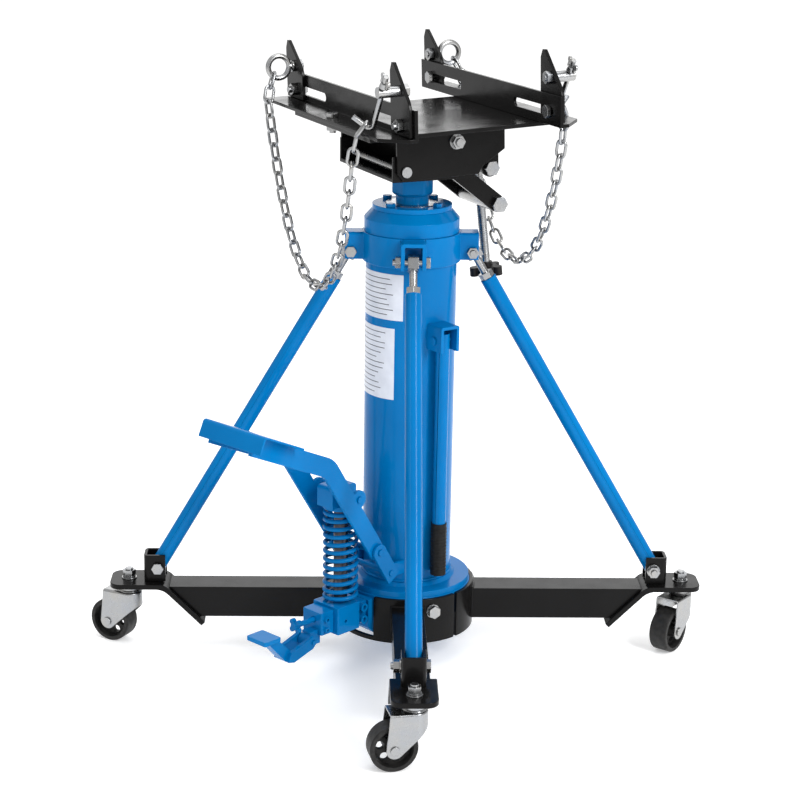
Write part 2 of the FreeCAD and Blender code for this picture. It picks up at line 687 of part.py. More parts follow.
def release_pedal():
    """Forked rocker with a foot pad."""
    x, z = RELEASE_PIN
    cheeks = []
    outline = [(x - 9, z), (x, z - 10), (262, 49), (274, 52), (268, 66), (x, z + 10)]
    for side in (-1, 1):
        y0, y1 = sorted((side * 10, side * 17))
        cheek = plate_xz(outline, y0, y1)
        cheeks.append(cheek.cut(rod(4.08, (x, y0 - 1, z), (x, y1 + 1, z))))
    arm = plate_xz([(256, 51.6), (274, 52), (312, 94), (292, 94), (262, 66)], -10, 10)
    pad = box(293, 326, -21, 21, 94, 101)
    pad = rounded(pad, 3.0, lambda e: runs_along(e, Z_AXIS))
    body = arm.fuse(pad).fuse(cheeks[0]).fuse(cheeks[1])
    return turned(body.removeSplitter(), PUMP_TURN)


def pump_plunger():
    """Plunger with its spring plate and the slotted head that the lever pushes."""
    x, z = PLUNGER_PIN
    bar = rod(PLUNGER_RADIUS, (PLUNGER_OFFSET, 0, PLUNGER_FOOT), (PLUNGER_OFFSET, 0, 280))
    seat = rod(28.5, (PLUNGER_OFFSET, 0, SPRING_TOP + 0.4), (PLUNGER_OFFSET, 0, 276))
    head = box(132, 183, -17, 17, 275, 308)
    head = rounded(head, 6.0, lambda e: runs_along(e, V(0, 1, 0)) and e.CenterOfMass.z > 300)
    middle, half = z + SLOT_RISE, SLOT_HALF_HEIGHT
    window = box(x - SLOT_HALF_RUN, x + SLOT_HALF_RUN, -20, 20, middle - half, middle + half)
    for end in (x - SLOT_HALF_RUN, x + SLOT_HALF_RUN):
        window = window.fuse(rod(half, (end, -20, middle), (end, 20, middle)))
    return turned(bar.fuse(seat).fuse(head).cut(window), PUMP_TURN)


def pump_spring():
    """Compression spring round the plunger."""
    low = BLOCK_TOP + SPRING_WIRE / 2 + 0.4
    height = SPRING_TOP - SPRING_WIRE / 2 - low
    helix = Part.makeHelix(height / SPRING_TURNS, height, SPRING_RADIUS)
    circle = Part.makeCircle(SPRING_WIRE / 2, V(SPRING_RADIUS, 0, 0), V(0, 1, 0))
    coil = Part.Wire(helix).makePipeShell([Part.Wire(circle)], True, True)
    coil.translate(V(PLUNGER_OFFSET, 0, low))
    return turned(coil, PUMP_TURN)


def strip(y0, y1):
    """One bent strip of the pump lever, in the X-Z plane, with a boss round the cross pin."""
    half = STRIP_WIDTH / 2
    foot, elbow, end = V(*LINK_PIN, 0), V(*LEVER_ELBOW, 0), V(*LEVER_END, 0)
    lower, upper = (elbow - foot).normalize(), (end - elbow).normalize()
    lower_side, upper_side = V(-lower.y, lower.x, 0), V(-upper.y, upper.x, 0)
    mitre = (lower_side + upper_side).normalize()
    mitre = mitre * (half / mitre.dot(upper_side))
    outline = [foot + lower_side * LEVER_FOOT_RADIUS, elbow + mitre, end + upper_side * half,
               end - upper_side * half, elbow - mitre, foot - lower_side * LEVER_FOOT_RADIUS]
    body = plate_xz([(p.x, p.y) for p in outline], y0, y1)
    for sign, radius in ((-1, ELBOW_RADIUS), (1, ELBOW_RADIUS + STRIP_WIDTH)):
        corner = elbow + mitre * sign
        body = rounded(body, radius, lambda e: over_point(e, corner))
    for (x, z), radius in ((LINK_PIN, LEVER_FOOT_RADIUS), (PLUNGER_PIN, PIN_BOSS_RADIUS)):
        body = body.fuse(rod(radius, (x, y0, z), (x, y1, z)))
    x, z = LINK_PIN
    return body.removeSplitter().cut(rod(5.06, (x, y0 - 1, z), (x, y1 + 1, z)))


def tread():
    """Wide foot tread: a plate on top of the strips with its outer edge folded down."""
    start, end = V(*LEVER_ELBOW, 0), V(*LEVER_END, 0)
    run = (end - start).normalize()
    side = V(-run.y, run.x, 0)
    inner = end + side * (STRIP_WIDTH / 2 + 0.05) + run * 0.05
    outer = inner + (side + run) * TREAD_THICK
    back = run * TREAD_DEPTH
    drop = side * TREAD_LIP
    folded = [inner - back + run * TREAD_THICK, inner, inner - drop + side * TREAD_THICK]
    outline = [outer, outer - back] + folded + [outer - drop]
    plate = plate_xz([(p.x, p.y) for p in outline], -TREAD_HALF_WIDTH, TREAD_HALF_WIDTH)
    for corner, radius in ((inner, 3.0), (outer, 3.0 + TREAD_THICK)):
        plate = rounded(plate, radius, lambda e: over_point(e, corner))
    return plate


def pump_lever():
    """Pump lever: two bent strips, the foot tread and the cross pin."""
    inner = LEVER_HALF_WIDTH - STRIP_THICK / 2
    outer = LEVER_HALF_WIDTH + STRIP_THICK / 2
    pieces = [strip(inner, outer), strip(-outer, -inner)]
    x, z = PLUNGER_PIN
    pin = rod(PLUNGER_PIN_RADIUS, (x, -outer - 3, z), (x, outer + 3, z))
    pieces = [piece.cut(rod(PLUNGER_PIN_RADIUS + 0.02, (x, -60, z), (x, 60, z))) for piece in pieces]
    return [turned(piece, PUMP_TURN) for piece in pieces + [tread(), pin]]


def lever_link():
    """Two link plates and the pin that joins them to the pump lever."""
    inner = LEVER_HALF_WIDTH + STRIP_THICK / 2 + 0.5
    pieces = []
    anchor, pin = V(*ANCHOR_PIN, 0), V(*LINK_PIN, 0)
    run = pin - anchor
    side = V(-run.y, run.x, 0).normalize() * LINK_HALF_WIDTH
    foot = anchor - run.normalize() * LINK_HALF_WIDTH
    corners = [foot + side, pin + side, pin - side, foot - side]
    outline = [(p.x, p.y) for p in corners]
    for sign in (-1, 1):
        y0, y1 = sorted((sign * inner, sign * (inner + 5)))
        plate = plate_xz(outline, y0, y1)
        plate = plate.fuse(rod(LINK_HALF_WIDTH, (pin.x, y0, pin.y), (pin.x, y1, pin.y)))
        bore = rod(5.06, (anchor.x, y0 - 1, anchor.y), (anchor.x, y1 + 1, anchor.y))
        plate = plate.removeSplitter().cut(bore)
        plate = plate.cut(rod(5.0, (pin.x, y0 - 1, pin.y), (pin.x, y1 + 1, pin.y)))
        pieces.append(plate)
    pieces.append(rod(5.0, (pin.x, -inner - 7.5, pin.y), (pin.x, inner + 7.5, pin.y)))
    return [turned(piece, PUMP_TURN) for piece in pieces]


# ---------------------------------------------------------------- fold-out handle
def handle_tube():
    """Handle tube that hangs from its pin."""
    x, z = HANDLE_OFFSET, HANDLE_PIN_HEIGHT
    tube = pipe(HANDLE_RADIUS, HANDLE_RADIUS - 2, (x, 0, 150), (x, 0, z + 10))
    return turned(tube.cut(rod(4.08, (x, -20, z), (x, 20, z))), HANDLE_TURN)


def handle_grip():
    """Rubber grip closed at its lower end."""
    x = HANDLE_OFFSET
    grip = rod(12.2, (x, 0, 146), (x, 0, 231))
    grip = grip.cut(rod(HANDLE_RADIUS, (x, 0, 150), (x, 0, 240)))
    return turned(grip, HANDLE_TURN)


# ---------------------------------------------------------------- head
def head_place(shape, tilted):
    """Move a shape from head coordinates to the jack, with the saddle's tilt if asked."""
    copy = shape.copy()
    if tilted:
        copy.rotate(V(0, 0, 0), V(0, 1, 0), -SADDLE_TILT)
    copy.rotate(V(0, 0, 0), Z_AXIS, HEAD_TURN)
    copy.translate(V(0, 0, HEAD_HEIGHT))
    return copy


def level(point):
    """Turn a (u, w) point of the tilted saddle into level head coordinates."""
    tilt = math.radians(SADDLE_TILT)
    u, w = point
    return (u * math.cos(tilt) - w * math.sin(tilt), u * math.sin(tilt) + w * math.cos(tilt))


def base_bracket():
    """Channel on the ram with two sloping arms for the lower trunnion."""
    pin_u, pin_w = level(TILT_PIN)
    trunnion_u, trunnion_w = level(LOWER_TRUNNION)
    outer = TILT_HALF_WIDTH - 5.6
    inner = outer - 5
    centre = BRACKET_CENTRE
    floor_low = -86.0
    wall = [(-76, -80), (-70, floor_low), (52, floor_low), (58, -80), (58, -48), (-76, -48)]
    channel = box(-76, 58, centre - outer, centre + outer, floor_low, floor_low + 6)
    for side in (-1, 1):
        v0, v1 = sorted((centre + side * inner, centre + side * outer))
        channel = channel.fuse(plate_xz(wall, v0, v1))
    channel = channel.cut(rod(6.03, (pin_u, -150, pin_w), (pin_u, 150, pin_w)))
    arms = []
    run = V(trunnion_u - 50, 0, trunnion_w + 84)
    across = V(-run.z, 0, run.x).normalize() * 13
    start, end = V(42, 0, -78), V(trunnion_u, 0, trunnion_w)
    corners = [start + across, end + across, end - across, start - across]
    outline = [(p.x, p.z) for p in corners]
    for side in (-1, 1):
        v0, v1 = sorted((centre + side * 53, centre + side * 61))
        arm = plate_xz(outline, v0, v1)
        arm = arm.fuse(rod(13, (end.x, v0, end.z), (end.x, v1, end.z)))
        arms.append(arm.cut(rod(6.03, (end.x, v0 - 1, end.z), (end.x, v1 + 1, end.z))))
    body = channel.fuse(arms[0]).fuse(arms[1]).removeSplitter()
    return head_place(body, False)


def tilt_pin():
    """Hinge pin of the tilting bracket, with a rivet head and a washer."""
    u, w = level(TILT_PIN)
    near = BRACKET_CENTRE - TILT_HALF_WIDTH
    far = BRACKET_CENTRE + TILT_HALF_WIDTH
    pin = rod(6.0, (u, near - 3.5, w), (u, far + 4, w))
    pin = pin.fuse(rod(8.0, (u, near - 0.4, w), (u, near - 3.5, w)))
    pin = pin.fuse(rod(8.0, (u, far + 0.4, w), (u, far + 3, w)))
    return head_place(pin, False)


def lower_trunnion():
    """Cross bar between the arms, drilled for the tilt screw, with its two bolts."""
    u, w = level(LOWER_TRUNNION)
    top_u, top_w = level(UPPER_TRUNNION)
    centre = BRACKET_CENTRE
    bar = rod(13.0, (u, centre - 52.6, w), (u, centre + 52.6, w))
    run = V(top_u - u, 0, top_w - w).normalize() * 30
    hole = rod(SCREW_RADIUS + SCREW_PLAY, (u - run.x, centre, w - run.z), (u + run.x, centre, w + run.z))
    bar = bar.cut(hole)
    pieces = [bar]
    for side in (-1, 1):
        bar_end = centre + side * 40
        pieces[0] = pieces[0].cut(rod(6.0, (u, bar_end, w), (u, centre + side * 53, w)))
        pieces.append(hex_bolt((u, centre + side * 61.4, w), (u, bar_end + side * 0.1, w), 6.0, 22.0, 8.5))
    return [head_place(piece, False) for piece in pieces]


def tilt_bracket():
    """Inverted channel under the saddle with two ears for the upper trunnion."""
    centre = BRACKET_CENTRE
    outer = TILT_HALF_WIDTH
    top = -SADDLE_THICK
    wall = [(-74, top), (-74, -70), (-64, -82), (58, -82), (66, -70), (102, -48), (102, top)]
    roof = box(-74, 102, centre - outer, centre + outer, top - 5, top)
    for side in (-1, 1):
        v0, v1 = sorted((centre + side * (outer - 5), centre + side * outer))
        roof = roof.fuse(plate_xz(wall, v0, v1))
    u, w = UPPER_TRUNNION
    for side in (-1, 1):
        v0, v1 = sorted((centre + side * 39, centre + side * 45))
        ear = box(94, 122, v0, v1, w + 4, top).fuse(box(80, 104, v0, v1, -30, top))
        ear = ear.fuse(rod(14, (u, v0, w), (u, v1, w))).fuse(box(94, 122, v0, v1, w, w + 10))
        roof = roof.fuse(ear.cut(rod(6.03, (u, v0 - 1, w), (u, v1 + 1, w))))
    pin_u, pin_w = TILT_PIN
    roof = roof.cut(rod(6.05, (pin_u, -200, pin_w), (pin_u, 200, pin_w)))
    roof = roof.cut(rod(6.0, (22, -200, -30), (22, 200, -30)))
    return head_place(roof.removeSplitter(), True)


def upper_trunnion():
    """Cross bar between the ears with its two bolts."""
    u, w = UPPER_TRUNNION
    centre = BRACKET_CENTRE
    low_u, low_w = LOWER_TRUNNION
    run = V(low_u - u, 0, low_w - w).normalize() * 30
    bar = rod(11.0, (u, centre - 38.6, w), (u, centre + 38.6, w))
    bar = bar.cut(rod(SCREW_RADIUS + 0.06, (u - run.x, centre, w - run.z), (u + run.x, centre, w + run.z)))
    pieces = [bar]
    for side in (-1, 1):
        bar_end = centre + side * 26
        pieces[0] = pieces[0].cut(rod(6.0, (u, bar_end, w), (u, centre + side * 39, w)))
        pieces.append(hex_bolt((u, centre + side * 45.4, w), (u, bar_end + side * 0.1, w), 6.0, 21.0, 8.0))
    return [head_place(piece, True) for piece in pieces]


def screw_frame():
    """Start point and direction of the tilt screw in level head coordinates."""
    top_u, top_w = level(UPPER_TRUNNION)
    low_u, low_w = level(LOWER_TRUNNION)
    run = V(low_u - top_u, 0, low_w - top_w).normalize()
    return V(top_u, BRACKET_CENTRE, top_w), run


def tilt_screw():
    """Threaded tilt rod with a thrust collar either side of the upper trunnion."""
    start, run = screw_frame()
    bar = rod(SCREW_RADIUS, tuple(start - run * 19), tuple(start + run * (KNOB_DISTANCE + 6)))
    bar = bar.fuse(rod(10.0, tuple(start - run * 19), tuple(start - run * 11.4)))
    bar = bar.fuse(rod(10.0, tuple(start + run * 11.4), tuple(start + run * 17)))
    return head_place(bar, False)


def tilt_knob():
    """Five-lobed hand knob at the foot of the tilt screw."""
    start, run = screw_frame()
    middle = start + run * (KNOB_DISTANCE + 1)
    knob = Part.makeCylinder(17, 14, V(0, 0, -7))
    for step in range(5):
        turn = math.radians(72 * step + 20)
        lobe = Part.makeCylinder(7.5, 14, V(19 * math.cos(turn), 19 * math.sin(turn), -7))
        knob = knob.fuse(lobe)
    knob = knob.fuse(Part.makeCylinder(10, 7, V(0, 0, 7))).removeSplitter()
    knob = knob.cut(Part.makeCylinder(SCREW_RADIUS, 60, V(0, 0, -5)))
    knob.Placement = FreeCAD.Placement(middle, FreeCAD.Rotation(Z_AXIS, run * -1))
    return head_place(knob, False)


def saddle_plate():
    """Flat plate that carries the load."""
    half = WEB_HALF_GAP + RAIL_FLANGE - 2
    plate = box(SADDLE_CENTRE - half, SADDLE_CENTRE + half, SADDLE_NEAR, SADDLE_FAR, -SADDLE_THICK, 0)
    for u, v in rail_bolt_places():
        plate = plate.cut(rod(5.05, (u, v, -20), (u, v, 20)))
    return head_place(plate, True)


def rail_bolt_places():
    """Centres of the bolts that hold the rails to the plate."""
    reach = WEB_HALF_GAP + 30
    return [(SADDLE_CENTRE - reach, 0.0), (SADDLE_CENTRE + reach, 0.0)]


def rail(side):
    """Angle rail with two long slots in its upright web."""
    inner = SADDLE_CENTRE + side * WEB_HALF_GAP
    outer = inner + side * RAIL_THICK
    edge = inner + side * RAIL_FLANGE
    web = box(min(inner, outer), max(inner, outer), RAIL_NEAR, RAIL_FAR, 0.05, RAIL_HEIGHT)
    flange = box(min(inner, edge), max(inner, edge), RAIL_NEAR, RAIL_FAR, 0.05, 0.05 + RAIL_THICK)
    near = RAIL_NEAR - 1
    corner_cut = [(edge + side, near), (edge - side * 34, near), (edge + side, near + 37)]
    outline = [V(u, v, -1) for u, v in corner_cut]
    outline.append(outline[0])
    body = web.fuse(flange).cut(Part.Face(Part.makePolygon(outline)).extrude(V(0, 0, 10)))
    for start, end in ((RAIL_NEAR + 22, RAIL_NEAR + 144), (RAIL_FAR - 144, RAIL_FAR - 22)):
        body = body.cut(slot(start, end, inner - 10, inner + 10))
    for u, v in rail_bolt_places():
        body = body.cut(rod(5.05, (u, v, -20), (u, v, 20)))
    return head_place(body, True)


def slot(start, end, u0, u1):
    """Cutter for a long slot in a rail's web."""
    half = SLOT_WIDTH / 2
    height = 20.0
    cutter = box(u0, u1, start + half, end - half, height - half, height + half)
    for v in (start + half, end - half):
        cutter = cutter.fuse(rod(half, (u0, v, height), (u1, v, height)))
    return cutter


def saddle_bolts():
    """Bolts and nuts of the rails, and the cross bolt of the tilting bracket."""
    pieces = []
    for u, v in rail_bolt_places():
        bolt = hex_bolt((u, v, RAIL_THICK + 0.1), (u, v, -SADDLE_THICK - 12), 5.0, 17.0, 6.4)
        nut = hex_nut((u, v, -SADDLE_THICK - 0.1), (u, v, -SADDLE_THICK - 8), 5.05, 17.0)
        pieces += [bolt, nut]
    near = BRACKET_CENTRE - TILT_HALF_WIDTH
    far = BRACKET_CENTRE + TILT_HALF_WIDTH
    pieces.append(hex_bolt((22, far, -30), (22, near - 13, -30), 6.0, 18.0, 7.5))
    pieces.append(pipe(11.5, 6.05, (22, near - 0.1, -30), (22, near - 2, -30)))
    pieces.append(hex_nut((22, near - 2.1, -30), (22, near - 10, -30), 6.05, 18.0))
    return [head_place(piece, True) for piece in pieces]


def ear_tip(end):
    """Height of an ear above the saddle plate."""
    return REAR_EAR_HEIGHT if end == "rear" else FRONT_EAR_HEIGHT


def ear_edge(end):
    """Position of an ear's upright edge along the rail."""
    return RAIL_FAR if end == "rear" else RAIL_NEAR + 70


def ear(side, end):
    """Pointed ear on the outside of a rail, clamped through the slot."""
    edge = ear_edge(end)
    inner = SADDLE_CENTRE + side * (WEB_HALF_GAP + RAIL_THICK + 0.3)
    outer = inner + side * 5
    top = ear_tip(end)
    outline = [(edge, 6), (edge, top - 12), (edge - 6, top), (edge - 12, top)]
    outline += [(edge - 58, 56), (edge - 64, 44), (edge - 64, 6)]
    points = [V(inner, v, w) for v, w in outline]
    points.append(points[0])
    plate = Part.Face(Part.makePolygon(points)).extrude(V(outer - inner, 0, 0))
    for v, w in ((edge - 35, 20), (edge - EAR_BOLT_SETBACK, top - EAR_BOLT_DROP)):
        plate = plate.cut(rod(5.05, (inner - side, v, w), (outer + side, v, w)))
    return head_place(plate, True)


def clamp_bolt(side, end):
    """Bolt and nut that clamp an ear to its rail."""
    v, w = ear_edge(end) - 35, 20.0
    inside = SADDLE_CENTRE + side * (WEB_HALF_GAP - 0.3)
    outside = SADDLE_CENTRE + side * (WEB_HALF_GAP + RAIL_THICK + 5.5)
    bolt = hex_bolt((inside, v, w), (outside + side * 13, v, w), 5.0, 17.0, 6.4)
    nut = hex_nut((outside, v, w), (outside + side * 8, v, w), 5.05, 17.0)
    return [bolt, nut]


def eyebolt(side):
    """Clamp bolt, chain eyebolt and its nuts on a rear ear."""
    v, w = ear_edge("rear") - EAR_BOLT_SETBACK, ear_tip("rear") - EAR_BOLT_DROP
    inside = SADDLE_CENTRE + side * (WEB_HALF_GAP + RAIL_THICK - 0.1)
    outside = SADDLE_CENTRE + side * (WEB_HALF_GAP + RAIL_THICK + 5.5)
    shank = rod(5.0, (inside - side * 10, v, w), (outside + side * (RING_REACH - RING_CENTRE_RADIUS), v, w))
    collar_piece = rod(9.0, (outside, v, w), (outside + side * 4, v, w))
    eye = Part.makeTorus(RING_CENTRE_RADIUS, RING_WIRE, V(outside + side * RING_REACH, v, w), V(0, 1, 0))
    nut = hex_nut((inside, v, w), (inside - side * 8, v, w), 5.05, 17.0)
    pieces = clamp_bolt(side, "rear") + [shank.fuse(collar_piece).fuse(eye), nut]
    return [head_place(piece, True) for piece in pieces]


def ear_face(side, end):
    """Where the upper bolt leaves an ear's outer face, in head coordinates."""
    height = ear_tip(end) - EAR_BOLT_DROP
    across = SADDLE_CENTRE + side * (WEB_HALF_GAP + RAIL_THICK + 5.5)
    return V(across, ear_edge(end) - EAR_BOLT_SETBACK, height)


def hook_axis():
    """Direction of the hooked rod, pulled towards the rear by the chain."""
    return V(0, 0.54, -0.84).normalize()


def hook_tip_axis(side):
    """Direction of the hook's tip."""
    return V(side * 0.72, 0.3, 0.62).normalize()


def hook_corner(side):
    """Point where the lines of the hook's rod and of its tip meet."""
    return ear_face(side, "front") + V(side * HOOK_REACH, 0, 0) + hook_axis() * HOOK_SHANK


def hook_rod(side):
    """Hooked rod: straight shank, bend and rising tip."""
    down, rise = hook_axis(), hook_tip_axis(side)
    corner = hook_corner(side)
    turn = down.getAngle(rise)
    radius = 7.0
    reach = radius * math.tan(turn / 2)
    inward = (rise - down).normalize()
    start, end = corner - down * reach, corner + rise * reach
    middle = corner + inward * (radius / math.cos(turn / 2) - radius)
    top = corner - down * (HOOK_SHANK + 27.5)
    tip = corner + rise * HOOK_TIP
    shank = Part.LineSegment(top, start).toShape()
    bend = Part.Arc(start, middle, end).toShape()
    point = Part.LineSegment(end, tip).toShape()
    circle = Part.Wire(Part.makeCircle(HOOK_WIRE, top, down))
    return Part.Wire([shank, bend, point]).makePipeShell([circle], True, True)


def wing_nut(side):
    """Wing nut on the upper end of the hooked rod."""
    nut = Part.makeCone(6.8, 5.5, 8, V(0, 0, 0))
    for wing in (-1, 1):
        low, high = sorted((wing * 4.0, wing * 11.0))
        flap = box(-1.6, 1.6, low, high, 2, 13)
        flap = flap.fuse(rod(4.2, (-1.6, wing * 10, 13), (1.6, wing * 10, 13)))
        nut = nut.fuse(flap)
    nut = nut.cut(Part.makeCylinder(HOOK_WIRE + 0.05, 40, V(0, 0, -10)))
    base = ear_face(side, "front") + V(side * HOOK_REACH, 0, 0) - hook_axis() * 9.2
    nut.Placement = FreeCAD.Placement(base, FreeCAD.Rotation(Z_AXIS, hook_axis() * -1))
    return nut


def hook(side):
    """Clamp bolt, cross-drilled sleeve, its nut, the hooked rod and its wing nut."""
    face = ear_face(side, "front")
    inside = face - V(side * 5.6, 0, 0)
    sleeve = rod(8.0, tuple(face), tuple(face + V(side * 33, 0, 0)))
    hole_centre = face + V(side * HOOK_REACH, 0, 0)
    reach = hook_axis() * 20
    hole = rod(HOOK_WIRE + 0.05, tuple(hole_centre - reach), tuple(hole_centre + reach))
    sleeve = sleeve.cut(hole).fuse(rod(5.0, tuple(inside - V(side * 10, 0, 0)), tuple(face)))
    nut = hex_nut(tuple(inside), tuple(inside - V(side * 8, 0, 0)), 5.05, 17.0)
    pieces = clamp_bolt(side, "front") + [sleeve, nut, hook_rod(side), wing_nut(side)]
    return [head_place(piece, True) for piece in pieces]


# ---------------------------------------------------------------- chains
def chain_link():
    """Welded link, long way along +Z, centred on the origin."""
    wire = (LINK_WIRE - LINK_PLAY) / 2
    radius = (LINK_WIDTH - LINK_WIRE) / 2
    reach = (LINK_PITCH + LINK_WIRE) / 2 - radius
    body = link_end(radius, wire, reach, 0)
    body = body.fuse(link_end(radius, wire, -reach, 180))
    for x in (-radius, radius):
        body = body.fuse(rod(wire, (x, 0, -reach), (x, 0, reach)))
    return body.removeSplitter()


def link_end(radius, wire, height, turn):
    """Half ring at one end of a link."""
    half = Part.makeTorus(radius, wire, V(0, 0, 0), V(0, 1, 0))
    half = half.common(box(-40, 40, -40, 40, 0, 40))
    half.rotate(V(0, 0, 0), V(0, 1, 0), turn)
    half.translate(V(0, 0, height))
    return half


def hanging_curve(start, end, length):
    """Catenary between two points of a vertical plane, as a function of the distance along it."""
    run, rise = end[0] - start[0], end[1] - start[1]
    target = math.sqrt(length ** 2 - rise ** 2) / abs(run)
    low, high = 0.01, 20.0
    for _ in range(60):
        middle = (low + high) / 2
        if math.sinh(middle) / middle < target:
            low = middle
        else:
            high = middle
    size = abs(run) / (2 * low)
    lowest = abs(run) / 2 - size * math.atanh(rise / length)
    behind = size * math.sinh(lowest / size)
    heading = 1 if run > 0 else -1

    def point(distance):
        along = lowest + size * math.asinh((distance - behind) / size)
        drop = size * (math.cosh((along - lowest) / size) - math.cosh(lowest / size))
        return (start[0] + heading * along, start[1] + drop)

    return point


def hooked_link_run(side):
    """Direction of the link on the hook: across the hook's tip, down and outwards."""
    tip = hook_tip_axis(side)
    pull = V(side * 0.25, 0.3, -1.0)
    return (pull - tip * pull.dot(tip)).normalize()


def hooked_link_ends(side):
    """Inner ends of the link on the hook, with the hook's tip inside its first end."""
    centre = hook_corner(side) + hook_tip_axis(side) * HOOKED_AT
    first = centre - hooked_link_run(side) * (HOOK_WIRE + CHAIN_CLEARANCE)
    return first, first + hooked_link_run(side) * LINK_PITCH


def chain_route(side, length):
    """Joint points between the links, from the eyebolt's ring to the link on the hook."""
    ring_centre = ear_face(side, "rear") + V(side * RING_REACH, 0, 0)
    outward = V(side * math.sin(RING_LEAN), 0, -math.cos(RING_LEAN))
    wire_centre = ring_centre + outward * RING_CENTRE_RADIUS
    start = wire_centre - outward * (RING_WIRE + CHAIN_CLEARANCE)
    end = hooked_link_ends(side)[1]
    hang_u = SADDLE_CENTRE + side * (WEB_HALF_GAP + RAIL_FLANGE + CHAIN_GAP)
    curve = hanging_curve((start.y, start.z), (end.y, end.z), length)

    def place(distance):
        v, w = curve(distance)
        near = start if distance < length / 2 else end
        lean = min(max((near.z - w) / LEAN_DROP, 0.0), 1.0)
        return V(near.x + (hang_u - near.x) * lean, v, w)

    pull = (place(LINK_PITCH) - start).normalize()
    points, distance = [wire_centre - pull * (RING_WIRE + CHAIN_CLEARANCE)], 0.0
    for _ in range(CHAIN_LINKS - 1):
        near, far = distance, distance + 1.5 * LINK_PITCH
        for _ in range(30):
            middle = (near + far) / 2
            if place(middle).distanceToPoint(points[-1]) < LINK_PITCH:
                near = middle
            else:
                far = middle
        distance = near
        points.append(place(distance))
    return points, distance


def chain(side):
    """Chain between the rear eyebolt and the hook on the front ear of the same rail."""
    short, long = 0.9 * CHAIN_LINKS * LINK_PITCH, 1.1 * CHAIN_LINKS * LINK_PITCH
    for _ in range(30):
        length = (short + long) / 2
        points, reached = chain_route(side, length)
        if reached < length:
            long = length
        else:
            short = length
    links = []
    for step, (start, end) in enumerate(zip(points, points[1:])):
        run = end - start
        link = chain_link()
        twist = 8 * min(step, 4)
        plane = V(0, -run.z, run.y).normalize()
        aim = FreeCAD.Rotation(plane.cross(run), plane, run, "ZXY")
        spin = FreeCAD.Rotation(Z_AXIS, side * twist + (90 if step % 2 == 0 else 0))
        link.Placement = FreeCAD.Placement((start + end) * 0.5, aim.multiply(spin))
        links.append(head_place(link, True))
    first, second = hooked_link_ends(side)
    link = chain_link()
    aim = FreeCAD.Rotation(V(0, 0, 0), hook_tip_axis(side), hooked_link_run(side), "ZYX")
    link.Placement = FreeCAD.Placement((first + second) * 0.5, aim)
    links.append(head_place(link, True))
    return links


# ---------------------------------------------------------------- write every node
LEFT, RIGHT = -1, 1

save("base_ring", base_ring())
for corner, turn in LEG_TURNS.items():
    save("leg_" + corner, [turned(piece, turn) for piece in leg()])
    save("caster_fork_" + corner, [place_caster(piece, corner) for piece in caster_fork()])
    save("caster_wheel_" + corner, place_caster(caster_wheel(), corner))
save("base_flange", base_flange())
save("column_tube", column_tube())
save("inner_cylinder", inner_cylinder())
save("collar", collar())
save("gland_housing", gland_housing())
save("cap_flange", cap_flange())
save("cap_bolts", cap_bolts())
save("brace_tubes", [piece for part in brace_tube() for piece in four_turns(part)])
save("brace_eye_studs", four_turns(eye_stud()))
save("frame_fasteners", frame_fasteners())
save("column_brackets", handle_bracket() + anchor_lugs())
save("outer_ram", outer_ram())
save("inner_ram", inner_ram())
save("ram_adapter", ram_adapter())
save("pump_mount", pump_mount())
save("pump_block", pump_block())
save("pump_screws", pump_screws())
save("valve_block", valve_block())
save("release_knob", release_knob())
save("release_pedal", release_pedal())
save("pump_plunger", pump_plunger())
save("pump_spring", pump_spring())
save("pump_lever", pump_lever())
save("lever_link", lever_link())
save("handle_tube", handle_tube())
save("handle_grip", handle_grip())
save("base_bracket", base_bracket())
save("tilt_pin", tilt_pin())
save("lower_trunnion", lower_trunnion())
save("tilt_bracket", tilt_bracket())
save("upper_trunnion", upper_trunnion())
save("tilt_screw", tilt_screw())
save("tilt_knob", tilt_knob())
save("saddle_plate", saddle_plate())
save("rail_left", rail(LEFT))
save("rail_right", rail(RIGHT))
save("saddle_bolts", saddle_bolts())
for name, side in (("left", LEFT), ("right", RIGHT)):
    save("ear_rear_" + name, ear(side, "rear"))
    save("ear_front_" + name, ear(side, "front"))
    save("eyebolt_" + name, eyebolt(side))
    save("hook_" + name, hook(side))
save("chain_left", chain(LEFT))
save("chain_right", chain(RIGHT))
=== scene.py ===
import json
import math
import random

import bmesh
import bpy
import numpy as np
from mathutils import Matrix, Vector


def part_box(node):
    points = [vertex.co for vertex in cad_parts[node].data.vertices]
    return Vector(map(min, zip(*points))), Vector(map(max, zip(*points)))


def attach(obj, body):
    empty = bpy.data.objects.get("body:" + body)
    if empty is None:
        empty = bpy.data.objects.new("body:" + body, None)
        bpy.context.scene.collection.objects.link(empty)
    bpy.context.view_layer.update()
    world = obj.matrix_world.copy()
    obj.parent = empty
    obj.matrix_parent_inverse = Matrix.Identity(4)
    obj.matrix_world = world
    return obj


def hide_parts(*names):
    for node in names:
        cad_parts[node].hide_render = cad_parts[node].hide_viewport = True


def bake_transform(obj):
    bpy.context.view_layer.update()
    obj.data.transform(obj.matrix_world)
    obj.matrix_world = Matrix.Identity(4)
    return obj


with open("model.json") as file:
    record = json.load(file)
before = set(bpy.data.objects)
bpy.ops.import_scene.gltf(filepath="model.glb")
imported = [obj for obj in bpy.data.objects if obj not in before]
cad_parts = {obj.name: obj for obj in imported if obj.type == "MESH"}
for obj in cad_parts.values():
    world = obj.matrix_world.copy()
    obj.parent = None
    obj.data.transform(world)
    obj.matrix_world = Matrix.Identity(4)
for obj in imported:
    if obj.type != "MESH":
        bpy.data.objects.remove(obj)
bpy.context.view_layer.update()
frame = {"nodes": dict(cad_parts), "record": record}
random.seed(7)

MM = 0.001
SIDES = ("left", "right")

